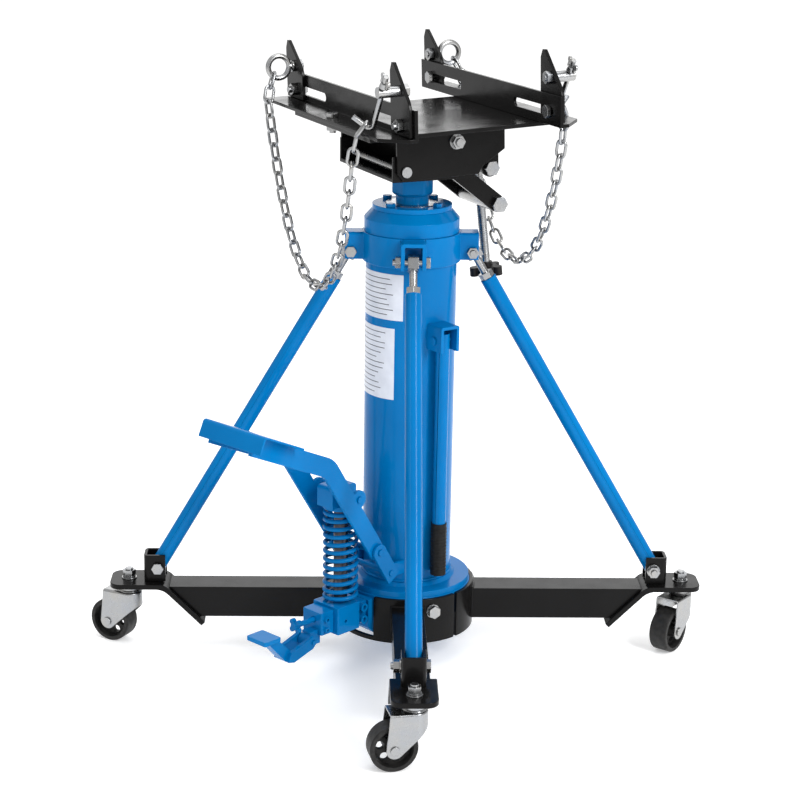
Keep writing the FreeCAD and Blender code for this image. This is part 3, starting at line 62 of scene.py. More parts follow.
# ---------------------------------------------------------------- camera, floor, lights
# The camera's angles are in degrees: to the right, down, and anticlockwise about the view.
CAMERA_PLACE = (-0.1031, -3.0434, 1.3041)
CAMERA_HEADING = 1.68
CAMERA_PITCH = 16.40
CAMERA_ROLL = 0.917
LENS_MM = 91.36
SENSOR_MM = 36.0

# Each lamp has a place, the point it faces, its width and height, and its power in watts.
LAMPS = {
    "key": ((2.0, -2.2, 2.2), (0, 0, 0.5), (0.7, 1.8), 80),
    "fill": ((-2.6, -2.0, 2.4), (0, 0, 0.5), (0.8, 1.6), 8),
    "overhead": ((0, 0.4, 4.0), (0, 0, 0), (3.0, 3.0), 50),
    "back": ((0, 4.2, 2.0), (0, 0, 0.9), (5.0, 2.0), 40),
}

# The sky's strength rises with the upward part of a view's direction, 0 at the horizon and 1 overhead.
SKY = {"From Min": 0.0, "From Max": 0.9, "To Min": 0.55, "To Max": 0.90}
FLOOR_REACH = 40.0
FLOOR_GREY = 0.93
FLOOR_ROUGHNESS = 0.6
FLOOR_GLOW = 0.32


def make_camera():
    """Camera at a standing viewer's height, looking down at the jack from the front."""
    data = bpy.data.cameras.new("camera")
    data.lens = LENS_MM
    data.sensor_width = SENSOR_MM
    camera = bpy.data.objects.new("camera", data)
    bpy.context.collection.objects.link(camera)
    turn = Matrix.Rotation(-math.radians(CAMERA_HEADING), 4, "Z")
    lean = Matrix.Rotation(math.radians(90 - CAMERA_PITCH), 4, "X")
    roll = Matrix.Rotation(math.radians(CAMERA_ROLL), 4, "Z")
    camera.matrix_world = Matrix.Translation(CAMERA_PLACE) @ turn @ lean @ roll
    bpy.context.scene.camera = camera


def make_light(name, place, target, size, power):
    """Soft rectangular lamp aimed at a point."""
    data = bpy.data.lights.new(name, "AREA")
    data.shape = "RECTANGLE"
    data.size, data.size_y = size
    data.energy = power
    lamp = bpy.data.objects.new(name, data)
    bpy.context.collection.objects.link(lamp)
    lamp.location = place
    aim = Vector(target) - Vector(place)
    lamp.rotation_euler = aim.to_track_quat("-Z", "Y").to_euler()


def make_studio():
    """Pale surroundings, soft lamps and a pale floor."""
    world = bpy.data.worlds.new("studio")
    world.use_nodes = True
    tree = world.node_tree
    background = tree.nodes["Background"]
    background.inputs["Color"].default_value = (1.0, 1.0, 1.0, 1.0)
    split = tree.nodes.new("ShaderNodeSeparateXYZ")
    tree.links.new(tree.nodes.new("ShaderNodeTexCoord").outputs["Generated"], split.inputs["Vector"])
    climb = tree.nodes.new("ShaderNodeMapRange")
    for key, value in SKY.items():
        climb.inputs[key].default_value = value
    tree.links.new(split.outputs["Z"], climb.inputs["Value"])
    tree.links.new(climb.outputs["Result"], background.inputs["Strength"])
    bpy.context.scene.world = world
    bpy.context.scene.view_settings.view_transform = "Standard"
    for name, (place, target, size, power) in LAMPS.items():
        make_light(name, place, target, size, power)
    make_floor()


def make_floor():
    """Pale floor that glows a little, so that it stays light far behind the jack."""
    mesh = bpy.data.meshes.new("floor")
    reach = FLOOR_REACH
    corners = [(-reach, -reach, 0), (reach, -reach, 0), (reach, reach, 0), (-reach, reach, 0)]
    mesh.from_pydata(corners, [], [(0, 1, 2, 3)])
    floor = bpy.data.objects.new("floor", mesh)
    bpy.context.collection.objects.link(floor)
    material = bpy.data.materials.new("floor")
    material.use_nodes = True
    shader = material.node_tree.nodes["Principled BSDF"]
    shader.inputs["Base Color"].default_value = (FLOOR_GREY, FLOOR_GREY, FLOOR_GREY, 1.0)
    shader.inputs["Roughness"].default_value = FLOOR_ROUGHNESS
    shader.inputs["Emission Color"].default_value = (1.0, 1.0, 1.0, 1.0)
    shader.inputs["Emission Strength"].default_value = FLOOR_GLOW
    mesh.materials.append(material)
    return floor


# ---------------------------------------------------------------- materials
# Most values of a noise texture lie between these two.
NOISE_LOW, NOISE_HIGH = 0.3, 0.7
# Sockets of a Mix node that mixes colours.
MIX_FACTOR, MIX_FIRST, MIX_SECOND, MIX_RESULT = 0, 6, 7, 2


class Surface:
    """A Principled material and short ways to add noise, colour, roughness and bump to it."""

    def __init__(self, name):
        self.material = bpy.data.materials.new(name)
        self.material.use_nodes = True
        self.tree = self.material.node_tree
        self.shader = self.tree.nodes["Principled BSDF"]
        self.place = self.tree.nodes.new("ShaderNodeTexCoord").outputs["Object"]
        self.normal = None

    def node(self, kind, **values):
        """New node with its named inputs set."""
        made = self.tree.nodes.new(kind)
        for key, value in values.items():
            made.inputs[key].default_value = value
        return made

    def link(self, output, node, key):
        """Joins an output to a node's named input."""
        self.tree.links.new(output, node.inputs[key])

    def stretched(self, scale):
        """Object coordinates stretched by a scale per axis."""
        mapping = self.node("ShaderNodeMapping", Scale=scale)
        self.link(self.place, mapping, "Vector")
        return mapping.outputs["Vector"]

    def noise(self, scale, detail=3.0, rough=0.5, place=None):
        """Noise value, with its scale per metre."""
        made = self.node("ShaderNodeTexNoise", Scale=scale, Detail=detail, Roughness=rough)
        self.link(place or self.place, made, "Vector")
        return made.outputs["Fac"]

    def ramp(self, value, low, high, start, stop):
        """Colour ramp from low to high between two noise values."""
        made = self.tree.nodes.new("ShaderNodeValToRGB")
        made.color_ramp.elements[0].position = start
        made.color_ramp.elements[0].color = (*low, 1.0)
        made.color_ramp.elements[1].position = stop
        made.color_ramp.elements[1].color = (*high, 1.0)
        self.link(value, made, "Fac")
        return made.outputs["Color"]

    def spread(self, value, low, high):
        """Noise value mapped to a range of numbers."""
        made = self.node("ShaderNodeMapRange")
        made.inputs["From Min"].default_value = NOISE_LOW
        made.inputs["From Max"].default_value = NOISE_HIGH
        made.inputs["To Min"].default_value = low
        made.inputs["To Max"].default_value = high
        self.link(value, made, "Value")
        return made.outputs["Result"]

    def mix(self, factor, first, second):
        """Mix of two colour outputs."""
        made = self.tree.nodes.new("ShaderNodeMix")
        made.data_type = "RGBA"
        self.tree.links.new(factor, made.inputs[MIX_FACTOR])
        self.tree.links.new(first, made.inputs[MIX_FIRST])
        self.tree.links.new(second, made.inputs[MIX_SECOND])
        return made.outputs[MIX_RESULT]

    def colour(self, output):
        """Colour of the surface from an output."""
        self.link(output, self.shader, "Base Color")

    def roughness(self, output):
        """Roughness of the surface from an output."""
        self.link(output, self.shader, "Roughness")

    def bump(self, height, strength, distance):
        """Adds a layer of bump over the layers before it."""
        made = self.node("ShaderNodeBump", Strength=strength, Distance=distance)
        self.link(height, made, "Height")
        if self.normal is not None:
            self.link(self.normal, made, "Normal")
        self.normal = made.outputs["Normal"]
        self.link(self.normal, self.shader, "Normal")

    def set(self, **values):
        """Numbers and colours that are the same all over the surface."""
        for key, value in values.items():
            self.shader.inputs[key.replace("_", " ").title().replace("Ior", "IOR")].default_value = value


def enamel(name, dark, light, rough_low, rough_high, peel):
    """Sprayed gloss paint: slow colour drift, orange peel, fine dust and a clear surface."""
    s = Surface(name)
    drift = s.ramp(s.noise(7.0, detail=4.0), dark, light, 0.35, 0.65)
    dust = s.ramp(s.noise(950.0, detail=2.0), (0, 0, 0), (1, 1, 1), 0.70, 0.82)
    speck = s.ramp(s.noise(60.0), tuple(c * 0.82 for c in dark), tuple(c * 0.9 for c in light), 0.4, 0.6)
    s.colour(s.mix(dust, drift, speck))
    s.roughness(s.spread(s.noise(22.0, detail=5.0), rough_low, rough_high))
    s.bump(s.noise(210.0, detail=2.0), strength=peel, distance=0.0007)
    s.bump(s.noise(1400.0, detail=2.0), strength=peel * 0.5, distance=0.0002)
    s.set(coat_weight=0.04, coat_roughness=0.05, specular_ior_level=0.06)
    return s.material


def black_powder(name):
    """Semi-gloss black powder coat with rubbed patches and fine scratches."""
    s = Surface(name)
    base = s.ramp(s.noise(9.0, detail=4.0), (0.0035, 0.0033, 0.0033), (0.0065, 0.0063, 0.0063), 0.3, 0.7)
    lines = s.noise(55.0, detail=6.0, rough=0.6, place=s.stretched((1.0, 14.0, 1.0)))
    scuff = s.ramp(lines, (0, 0, 0), (1, 1, 1), 0.76, 0.84)
    worn = s.ramp(s.noise(40.0), (0.010, 0.010, 0.010), (0.020, 0.020, 0.021), 0.4, 0.6)
    s.colour(s.mix(scuff, base, worn))
    s.roughness(s.spread(s.noise(30.0, detail=6.0), 0.16, 0.28))
    s.bump(s.noise(320.0, detail=2.0), strength=0.10, distance=0.0006)
    s.bump(s.noise(1800.0, detail=2.0), strength=0.08, distance=0.0002)
    s.set(specular_ior_level=0.12)
    return s.material


def zinc(name, tint, rough_low, rough_high, grain):
    """Plated or bare metal with a soft cloudy sheen and fine grain."""
    s = Surface(name)
    cool = tuple(c * f for c, f in zip(tint, (0.93, 0.95, 0.99)))
    warm = tuple(c * f for c, f in zip(tint, (1.03, 1.0, 0.95)))
    s.colour(s.ramp(s.noise(38.0, detail=4.0), cool, warm, 0.3, 0.7))
    s.roughness(s.spread(s.noise(90.0), rough_low, rough_high))
    s.bump(s.noise(grain), strength=0.05, distance=0.0002)
    s.set(metallic=1.0)
    return s.material


def cast_iron_paint(name):
    """Thin black paint over a sand-cast skin."""
    s = Surface(name)
    s.colour(s.ramp(s.noise(120.0, detail=6.0), (0.008, 0.008, 0.008), (0.022, 0.021, 0.020), 0.35, 0.7))
    s.roughness(s.spread(s.noise(90.0, detail=5.0), 0.42, 0.62))
    s.bump(s.noise(650.0, detail=5.0, rough=0.65), strength=0.35, distance=0.0005)
    s.set(specular_ior_level=0.25)
    return s.material


def rubber(name, colour, rough, grain):
    """Matt rubber or moulded plastic with a fine grain."""
    s = Surface(name)
    s.colour(s.ramp(s.noise(160.0, detail=4.0), colour, tuple(c * 1.7 for c in colour), 0.35, 0.7))
    s.roughness(s.spread(s.noise(70.0, detail=4.0), rough, rough + 0.14))
    s.bump(s.noise(grain), strength=0.18, distance=0.0003)
    s.set(specular_ior_level=0.22)
    return s.material


def ground_steel(name):
    """Steel ground round its axis, with fine rings."""
    s = Surface(name)
    s.colour(s.ramp(s.noise(30.0), (0.26, 0.265, 0.275), (0.33, 0.335, 0.345), 0.30, 0.70))
    rings = s.noise(120.0, detail=5.0, rough=0.6, place=s.stretched((1.0, 1.0, 30.0)))
    s.roughness(s.spread(rings, 0.14, 0.30))
    s.bump(rings, strength=0.05, distance=0.0002)
    s.set(metallic=1.0)
    return s.material


def label_paper(name, low, high):
    """Printed vinyl."""
    s = Surface(name)
    s.colour(s.ramp(s.noise(45.0, detail=4.0), low, high, 0.35, 0.65))
    s.roughness(s.spread(s.noise(90.0), 0.28, 0.42))
    s.bump(s.noise(400.0), strength=0.04, distance=0.0003)
    return s.material


MATERIALS = {
    "blue_paint": enamel("blue_paint", (0.0001, 0.132, 0.370), (0.0002, 0.160, 0.435), 0.13, 0.22, 0.10),
    "spring_steel": enamel("spring_steel", (0.0001, 0.124, 0.350), (0.0002, 0.150, 0.410), 0.22, 0.36, 0.18),
    "black_paint": black_powder("black_paint"),
    "zinc_plate": zinc("zinc_plate", (0.34, 0.345, 0.35), 0.24, 0.31, 700.0),
    "bare_steel": zinc("bare_steel", (0.10, 0.10, 0.11), 0.30, 0.44, 900.0),
    "ground_steel": ground_steel("ground_steel"),
    "label": label_paper("label", (0.60, 0.63, 0.70), (0.68, 0.71, 0.78)),
    "label_ink": label_paper("label_ink", (0.10, 0.11, 0.13), (0.15, 0.16, 0.18)),
    "cast_wheel": cast_iron_paint("cast_wheel"),
    "grip_rubber": rubber("grip_rubber", (0.004, 0.004, 0.004), 0.45, 900.0),
    "knob_plastic": rubber("knob_plastic", (0.008, 0.007, 0.007), 0.36, 700.0),
}
SLOT_OF = {part["node"]: part["material_slot"] for part in frame["record"]["subparts"]}
BODY_OF = {node: body for body, nodes in frame["record"]["behaviour"]["bodies"].items() for node in nodes}


# ---------------------------------------------------------------- mesh helpers
MERGE_DISTANCE = 0.001 * MM
FLAT_ANGLE = math.radians(0.6)
SHARP_ANGLE = math.radians(38.0)
BEVEL_SEGMENTS = 2
FACE_AREA_WEIGHT = 100


def new_piece(name, mesh, slot, body=None):
    """Object from a mesh, with a slot's material, riding on a body."""
    piece = bpy.data.objects.new(name, mesh)
    bpy.context.collection.objects.link(piece)
    mesh.materials.clear()
    mesh.materials.append(MATERIALS[slot])
    if body is not None:
        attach(piece, body)
    return piece


def soft_edges(mesh, width):
    """Merges a mesh's loose corners, rounds its sharp edges and shades it smooth."""
    bm = bmesh.new()
    bm.from_mesh(mesh)
    bmesh.ops.remove_doubles(bm, verts=bm.verts, dist=MERGE_DISTANCE)
    bmesh.ops.dissolve_limit(bm, angle_limit=FLAT_ANGLE, verts=bm.verts, edges=bm.edges,
                             use_dissolve_boundaries=False)
    sound = {v: all(e.is_manifold for e in v.link_edges) for v in bm.verts}
    weight = bm.edges.layers.float.new("bevel_weight_edge")
    for edge in bm.edges:
        sharp = edge.is_manifold and edge.calc_face_angle(0.0) > SHARP_ANGLE
        rounded = sharp and sound[edge.verts[0]] and sound[edge.verts[1]]
        edge[weight] = 1.0 if rounded else 0.0
        edge.smooth = rounded or not (sharp or not edge.is_manifold)
    bm.to_mesh(mesh)
    bm.free()
    holder = bpy.data.objects.new("holder", mesh)
    bpy.context.collection.objects.link(holder)
    if "custom_normal" in mesh.attributes:
        mesh.attributes.remove(mesh.attributes["custom_normal"])
    mesh.polygons.foreach_set("use_smooth", [True] * len(mesh.polygons))
    bevel = holder.modifiers.new("bevel", "BEVEL")
    bevel.width = width
    bevel.segments = BEVEL_SEGMENTS
    bevel.limit_method = "WEIGHT"
    bevel.use_clamp_overlap = False
    weigh = holder.modifiers.new("weigh", "WEIGHTED_NORMAL")
    weigh.weight = FACE_AREA_WEIGHT
    weigh.keep_sharp = True
    graph = bpy.context.evaluated_depsgraph_get()
    result = bpy.data.meshes.new_from_object(holder.evaluated_get(graph))
    bpy.data.objects.remove(holder)
    return result


def rounded_copy(node, width):
    """Stands for a CAD node with the same shape and rounded edges."""
    mesh = frame["nodes"][node].data.copy()
    piece = new_piece(node + "_finished", soft_edges(mesh, width), SLOT_OF[node], BODY_OF[node])
    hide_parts(node)


def islands(node):
    """Vertex arrays of a node's separate solids."""
    bm = bmesh.new()
    bm.from_mesh(frame["nodes"][node].data)
    bmesh.ops.remove_doubles(bm, verts=bm.verts, dist=MERGE_DISTANCE)
    groups, seen = [], set()
    for start in bm.verts:
        if start.index in seen:
            continue
        stack, group = [start], []
        seen.add(start.index)
        while stack:
            vert = stack.pop()
            group.append(tuple(vert.co))
            for edge in vert.link_edges:
                other = edge.other_vert(vert)
                if other.index not in seen:
                    seen.add(other.index)
                    stack.append(other)
        groups.append(np.array(group))
    bm.free()
    return groups


def tube_mesh(name, points, radius, around=12, closed=False, radii=None):
    """Round tube along a list of points, with its frame carried along without twist."""
    count = len(points)
    verts, faces = [], []
    side = None
    for i, point in enumerate(points):
        if closed:
            run = points[(i + 1) % count] - points[i - 1]
        else:
            run = points[min(i + 1, count - 1)] - points[max(i - 1, 0)]
        run.normalize()
        if side is None:
            side = run.orthogonal().normalized()
        else:
            side = (side - run * side.dot(run)).normalized()
        across = run.cross(side)
        size = radii[i] if radii else radius
        for step in range(around):
            turn = 2 * math.pi * step / around
            verts.append(point + side * (size * math.cos(turn)) + across * (size * math.sin(turn)))
    spans = count if closed else count - 1
    for i in range(spans):
        j = (i + 1) % count
        for step in range(around):
            after = (step + 1) % around
            faces.append((i * around + step, i * around + after, j * around + after, j * around + step))
    if not closed:
        faces.append(tuple(reversed(range(around))))
        faces.append(tuple((count - 1) * around + step for step in range(around)))
    mesh = bpy.data.meshes.new(name)
    mesh.from_pydata([tuple(v) for v in verts], [], faces)
    for polygon in mesh.polygons:
        polygon.use_smooth = len(polygon.vertices) == 4
    return mesh


def joined(name, meshes):
    """One mesh from several."""
    bm = bmesh.new()
    for mesh in meshes:
        bm.from_mesh(mesh)
    result = bpy.data.meshes.new(name)
    bm.to_mesh(result)
    bm.free()
    for polygon in result.polygons:
        polygon.use_smooth = True
    return result


# ---------------------------------------------------------------- chains
LINK_WIRE_RADIUS = 2.3 * MM
LINK_END_STEPS = 12
WELD_BULGE = 1.08
WELD_SHOULDER = 1.04


def link_mesh(vertices):
    """Welded link in the place of a CAD link, found from that link's own vertices."""
    centre = (vertices.max(axis=0) + vertices.min(axis=0)) / 2
    axes = np.linalg.svd(vertices - vertices.mean(axis=0), full_matrices=False)[2]
    local = (vertices - centre) @ axes.T
    centre = centre + ((local.max(axis=0) + local.min(axis=0)) / 2) @ axes
    half_long, half_wide = np.ptp(local, axis=0)[:2] / 2
    long_way, wide_way = Vector(axes[0]), Vector(axes[1])
    radius = half_wide - LINK_WIRE_RADIUS
    reach = half_long - half_wide
    points = []
    for end in (0, 1):
        for step in range(LINK_END_STEPS + 1):
            turn = math.pi * (step / LINK_END_STEPS + end) - math.pi / 2
            offset = reach if end == 0 else -reach
            points.append(Vector(centre) + long_way * (offset + radius * math.cos(turn))
                          + wide_way * (radius * math.sin(turn)))
    radii = [LINK_WIRE_RADIUS] * len(points)
    radii[-1] = LINK_WIRE_RADIUS * WELD_BULGE
    radii[0] = LINK_WIRE_RADIUS * WELD_SHOULDER
    return tube_mesh("link", points, LINK_WIRE_RADIUS, closed=True, radii=radii)


def make_chain(side):
    """Chain of separate links, made as a front piece and a rear piece that part at the lowest link."""
    node = "chain_" + side
    links = sorted(islands(node), key=lambda v: v.mean(axis=0)[1])
    lowest = min(range(len(links)), key=lambda i: links[i].mean(axis=0)[2])
    for part, group, body in (("front", links[:lowest], "clamp_front_" + side),
                              ("rear", links[lowest:], "clamp_rear_" + side)):
        mesh = joined(node, [link_mesh(v) for v in group])
        piece = new_piece(node + "_" + part, mesh, "zinc_plate")
        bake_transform(piece)
        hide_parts(node)


# ---------------------------------------------------------------- pump spring
SPRING_COILS = 12
SPRING_WIRE_RADIUS = 3.4 * MM
SPRING_AROUND = 14
SPRING_COIL_STEPS = 28
SPRING_START = 0.6
DEAD_COILS = 0.9
DEAD_RISE = 2.1 * SPRING_WIRE_RADIUS


def make_spring():
    """Compression spring with closed ends."""
    low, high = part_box("pump_spring")
    centre = (Vector(low) + Vector(high)) / 2
    radius = (high[0] - low[0]) / 2 - SPRING_WIRE_RADIUS
    bottom, top = low[2] + SPRING_WIRE_RADIUS, high[2] - SPRING_WIRE_RADIUS
    points = []
    steps = SPRING_COILS * SPRING_COIL_STEPS
    dead = DEAD_COILS / SPRING_COILS
    for step in range(steps + 1):
        t = step / steps
        ease = min(max((t - dead) / (1 - 2 * dead), 0.0), 1.0)
        closed_rise = DEAD_RISE * (min(t, dead) + max(t - 1 + dead, 0)) / dead
        height = bottom + closed_rise + (top - bottom - 2 * DEAD_RISE) * ease
        turn = 2 * math.pi * SPRING_COILS * t + SPRING_START
        x, y = centre.x + radius * math.cos(turn), centre.y + radius * math.sin(turn)
        points.append(Vector((x, y, height)))
    mesh = tube_mesh("pump_spring", points, SPRING_WIRE_RADIUS, SPRING_AROUND)
    piece = new_piece("pump_spring_wound", mesh, "spring_steel")
    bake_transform(piece)
    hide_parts("pump_spring")


# ---------------------------------------------------------------- pump plunger
PLUNGER_EDGE = 0.6 * MM


def make_plunger():
    """Dark steel rod inside the spring, under the painted seat and head."""
    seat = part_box("pump_spring")[1][2]
    whole = soft_edges(frame["nodes"]["pump_plunger"].data.copy(), PLUNGER_EDGE)
    for name, slot, keep_low in (("pump_plunger_rod", "bare_steel", True),
                                 ("pump_plunger_head", "blue_paint", False)):
        mesh = whole.copy()
        bm = bmesh.new()
        bm.from_mesh(mesh)
        other = [f for f in bm.faces if (f.calc_center_median().z < seat) != keep_low]
        bmesh.ops.delete(bm, geom=other, context="FACES")
        bm.to_mesh(mesh)
        bm.free()
        piece = new_piece(name, mesh, slot, "plunger")
        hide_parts("pump_plunger")


# ---------------------------------------------------------------- labels on the column
COLUMN_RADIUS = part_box("column_tube")[1][0]
# Each label has its first and last angle round the column, its low and high edge, and its number of bars.
LABELS = {
    "upper": (-186.0, -101.0, 0.552, 0.623, 8),
    "lower": (-190.0, -111.5, 0.427, 0.539, 13),
}
PATCH_STEP = 1.5
LABEL_SINK = 0.1 * MM
LABEL_THICK = 0.35 * MM
BAR_LIFT = 0.2 * MM
BAR_THICK = 0.12 * MM
BAR_HALF_HEIGHT = 0.7 * MM
BAR_INSET = 4.0
BAR_SHORTER_BY = (8, 26)


def curved_patch(name, start, stop, low, high, radius, thick):
    """Thin sheet wrapped round the column between two angles in degrees and two heights."""
    steps = max(int((stop - start) / PATCH_STEP), 2)
    verts, faces = [], []
    for step in range(steps + 1):
        turn = math.radians(start + (stop - start) * step / steps)
        for reach, height in ((radius, low), (radius + thick, low), (radius + thick, high), (radius, high)):
            verts.append((reach * math.cos(turn), reach * math.sin(turn), height))
    for step in range(steps):
        first, after = 4 * step, 4 * step + 4
        for corner in range(4):
            following = (corner + 1) % 4
            faces.append((first + corner, after + corner, after + following, first + following))
    faces.append((3, 2, 1, 0))
    faces.append(tuple(4 * steps + corner for corner in range(4)))
    mesh = bpy.data.meshes.new(name)
    mesh.from_pydata(verts, [], faces)
    bm = bmesh.new()
    bm.from_mesh(mesh)
    bmesh.ops.recalc_face_normals(bm, faces=bm.faces)
    bm.to_mesh(mesh)
    bm.free()
    return mesh


def make_labels():
    """Two stickers on the column with plain bars of uneven length and no lettering."""
    for word, (start, stop, low, high, rows) in LABELS.items():
        sheet = curved_patch("sheet", start, stop, low, high, COLUMN_RADIUS - LABEL_SINK, LABEL_THICK)
        new_piece("label_" + word, sheet, "label", "base")
        bars = []
        gap = (high - low) / (rows + 1)
        for row in range(rows):
            height = high - gap * (row + 1)
            ends = stop - BAR_INSET - random.uniform(*BAR_SHORTER_BY)
            bars.append(curved_patch("bar", start + BAR_INSET, ends, height - BAR_HALF_HEIGHT,
                                     height + BAR_HALF_HEIGHT, COLUMN_RADIUS + BAR_LIFT, BAR_THICK))
        new_piece("label_bars_" + word, joined("bars", bars), "label_ink", "base")


# ---------------------------------------------------------------- weld beads
BEAD_AROUND = 8
BEAD_STEP = 0.9 * MM
BEAD_DROP = 1.5 * MM
BEAD_LEAST = 0.86
BEAD_RIPPLE = 0.16
BEAD_UNEVEN = 0.03
# A bead round the column has its own radius, and how far its middle is out from the joint and up.
FLANGE_BEAD = (2.4 * MM, 0.6 * MM, 0.4 * MM)
COLLAR_BEAD = (1.9 * MM, 0.5 * MM, -0.3 * MM)
LEG_TOP = 103.0 * MM
LEG_HALF_WIDTH = 25.0 * MM
LEG_BEAD = 2.3 * MM
LEG_BEAD_STEPS = 12
LEG_BEAD_DROP = 48 * MM
LEG_BEAD_UP = 0.2 * MM
LEG_TOP_OUT = 0.3 * MM
LEG_SIDE_OUT = 0.4 * MM


def bead(points, radius):
    """Weld bead along a path, rippled where each drop of weld froze."""
    path, radii, travelled = [], [], 0.0
    for start, end in zip(points, points[1:]):
        steps = max(int((end - start).length / BEAD_STEP), 1)
        for step in range(steps):
            path.append(start.lerp(end, step / steps))
            travelled += (end - start).length / steps
            ripple = BEAD_RIPPLE * abs(math.sin(travelled / BEAD_DROP * math.pi / 2))
            radii.append(radius * (BEAD_LEAST + ripple + random.uniform(-BEAD_UNEVEN, BEAD_UNEVEN)))
    path.append(points[-1])
    radii.append(radius)
    return tube_mesh("bead", path, radius, BEAD_AROUND, radii=radii)


def circle_points(radius, height, start=0.0, stop=360.0, steps=96):
    """Points round the column's axis, between two angles in degrees."""
    turns = [math.radians(start + (stop - start) * i / steps) for i in range(steps + 1)]
    return [Vector((radius * math.cos(t), radius * math.sin(t), height)) for t in turns]


def make_welds():
    """Beads where the column meets its flange and collar, and the legs meet the base ring."""
    flange_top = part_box("base_flange")[1][2]
    collar_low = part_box("collar")[0][2]
    blue = []
    for (size, out, up), height in ((FLANGE_BEAD, flange_top), (COLLAR_BEAD, collar_low)):
        blue.append(bead(circle_points(COLUMN_RADIUS + out, height + up), size))
    new_piece("column_welds", joined("column_welds", blue), "blue_paint", "base")
    ring_low, ring_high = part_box("base_ring")
    radius = (ring_high[0] - ring_low[0]) / 2
    half = LEG_HALF_WIDTH
    foot_x = math.sqrt(radius ** 2 - half ** 2) + LEG_SIDE_OUT
    foot_y = half + LEG_BEAD_UP
    foot_z = LEG_TOP - LEG_BEAD_DROP
    path = [Vector((foot_x, foot_y, foot_z))]
    for step in range(LEG_BEAD_STEPS + 1):
        y = half * (1 - 2 * step / LEG_BEAD_STEPS)
        path.append(Vector((math.sqrt(radius ** 2 - y ** 2) + LEG_TOP_OUT, y, LEG_TOP + LEG_BEAD_UP)))
    path.append(Vector((foot_x, -foot_y, foot_z)))
    black = []
    for turn in (0, 90, 180, 270):
        spin = Matrix.Rotation(math.radians(turn), 4, "Z")
        black.append(bead([spin @ point for point in path], LEG_BEAD))
    new_piece("leg_welds", joined("leg_welds", black), "black_paint", "base")


# ---------------------------------------------------------------- screw threads
THREAD_AROUND = 6
THREAD_TURN_STEPS = 20
TILT_THREAD_START = 12 * MM
TILT_THREAD = {"length": 138 * MM, "radius": 6.55 * MM, "pitch": 3.0 * MM, "wire": 0.8 * MM}
HOOK_THREAD = {"length": 34 * MM, "radius": 3.6 * MM, "pitch": 1.5 * MM, "wire": 0.4 * MM}
HOOK_END_DEPTH = 2.4 * MM


def thread(start, run, length, radius, pitch, wire):
    """Raised helix of a screw thread."""
    run = run.normalized()
    side = run.orthogonal().normalized()
    across = run.cross(side)
    steps = int(length / pitch * THREAD_TURN_STEPS)
    points = []
    for step in range(steps + 1):
        turn = 2 * math.pi * step / THREAD_TURN_STEPS
        out = side * math.cos(turn) + across * math.sin(turn)
        points.append(start + run * (length * step / steps) + out * radius)
    return tube_mesh("thread", points, wire, THREAD_AROUND)


def make_threads():
    """Threads of the tilt screw and of the hooks' upper ends."""
    joint = next(j for j in frame["record"]["behaviour"]["joints"] if j["name"] == "screw_turn")
    run = Vector(joint["axis"])
    start = Vector(joint["pos_m"]) + run * TILT_THREAD_START
    new_piece("tilt_screw_thread", thread(start, run, **TILT_THREAD), "zinc_plate", "screw")
    for side in SIDES:
        rod = max(islands("hook_" + side), key=lambda v: np.linalg.norm(np.ptp(v, axis=0)))
        top = rod[rod[:, 2] > rod[:, 2].max() - HOOK_END_DEPTH]
        centre = top.mean(axis=0)
        down = np.linalg.svd(top - centre)[2][2]
        down = Vector(down if down[2] < 0 else -down)
        mesh = thread(Vector(centre), down, **HOOK_THREAD)
        new_piece("hook_thread_" + side, mesh, "zinc_plate", "clamp_front_" + side)


# ---------------------------------------------------------------- grip ribs
RIBS = 13
RIB_INSET = 9 * MM
RIB_CORNERS = 48
RIB_AROUND = 8
RIB_RADIUS = 0.6 * MM


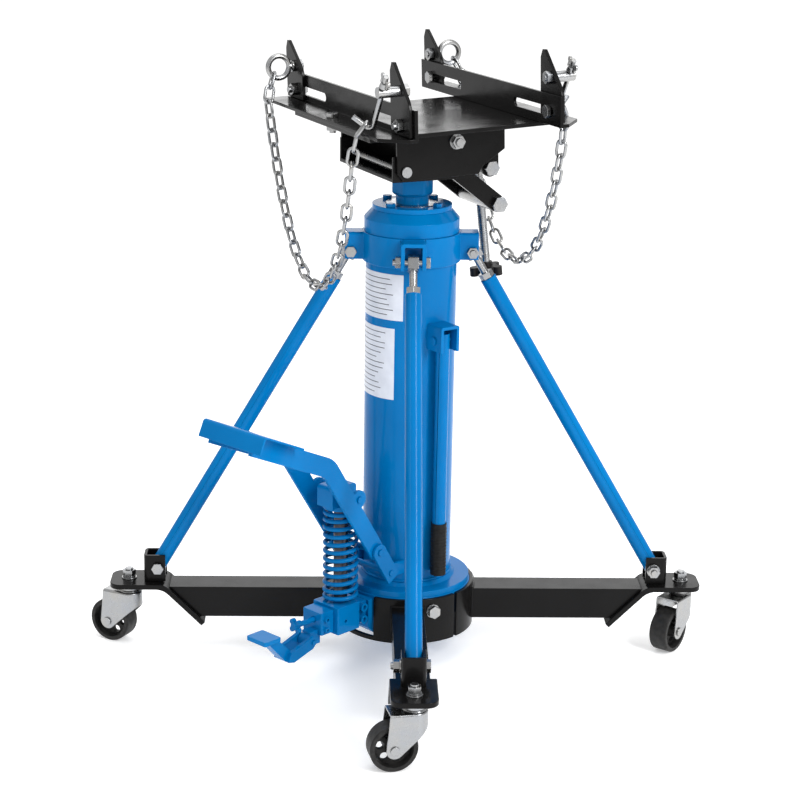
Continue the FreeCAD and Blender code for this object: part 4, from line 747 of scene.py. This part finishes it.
def make_grip_ribs():
    """Moulded rings round the handle's grip."""
    low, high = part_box("handle_grip")
    centre = (Vector(low) + Vector(high)) / 2
    radius = (high[0] - low[0]) / 2
    foot = Vector((centre.x, centre.y, 0))
    last = 360 - 360 / RIB_CORNERS
    rings = []
    for step in range(RIBS):
        height = low[2] + RIB_INSET + (high[2] - low[2] - 2 * RIB_INSET) * step / (RIBS - 1)
        points = [foot + p for p in circle_points(radius, height, 0, last, RIB_CORNERS - 1)]
        rings.append(tube_mesh("rib", points, RIB_RADIUS, RIB_AROUND, closed=True))
    new_piece("handle_grip_ribs", joined("ribs", rings), "grip_rubber", "handle")


# ---------------------------------------------------------------- the whole jack
# CAD nodes whose edges are rounded, by the width of the rounding. The chains, the spring and the plunger
# are made above, and three plain tubes stay as they are: column_tube, inner_cylinder and outer_ram.
EDGE_WIDTHS = {
    0.9 * MM: ["base_ring", "leg_front", "leg_left", "leg_rear", "leg_right", "base_bracket", "tilt_bracket",
               "pump_block", "valve_block", "pump_mount", "collar"],
    0.6 * MM: ["saddle_plate", "rail_left", "rail_right", "ear_rear_left", "ear_rear_right",
               "ear_front_left", "ear_front_right", "pump_lever", "lever_link", "release_pedal",
               "column_brackets", "base_flange", "gland_housing", "cap_flange", "ram_adapter", "inner_ram",
               "tilt_knob", "release_knob", "upper_trunnion", "lower_trunnion", "handle_tube", "handle_grip",
               "caster_fork_front", "caster_fork_left", "caster_fork_rear", "caster_fork_right",
               "caster_wheel_front", "caster_wheel_left", "caster_wheel_rear", "caster_wheel_right"],
    0.4 * MM: ["frame_fasteners", "cap_bolts", "saddle_bolts", "brace_eye_studs", "brace_tubes", "tilt_pin",
               "tilt_screw", "eyebolt_left", "eyebolt_right", "hook_left", "hook_right", "pump_screws"],
}

make_camera()
make_studio()
for name, node in frame["nodes"].items():
    node.data.materials.clear()
    node.data.materials.append(MATERIALS[SLOT_OF[name]])
for width, names in EDGE_WIDTHS.items():
    for name in names:
        rounded_copy(name, width)
for side in SIDES:
    make_chain(side)
make_spring()
make_plunger()
make_labels()
make_welds()
make_threads()
make_grip_ribs()
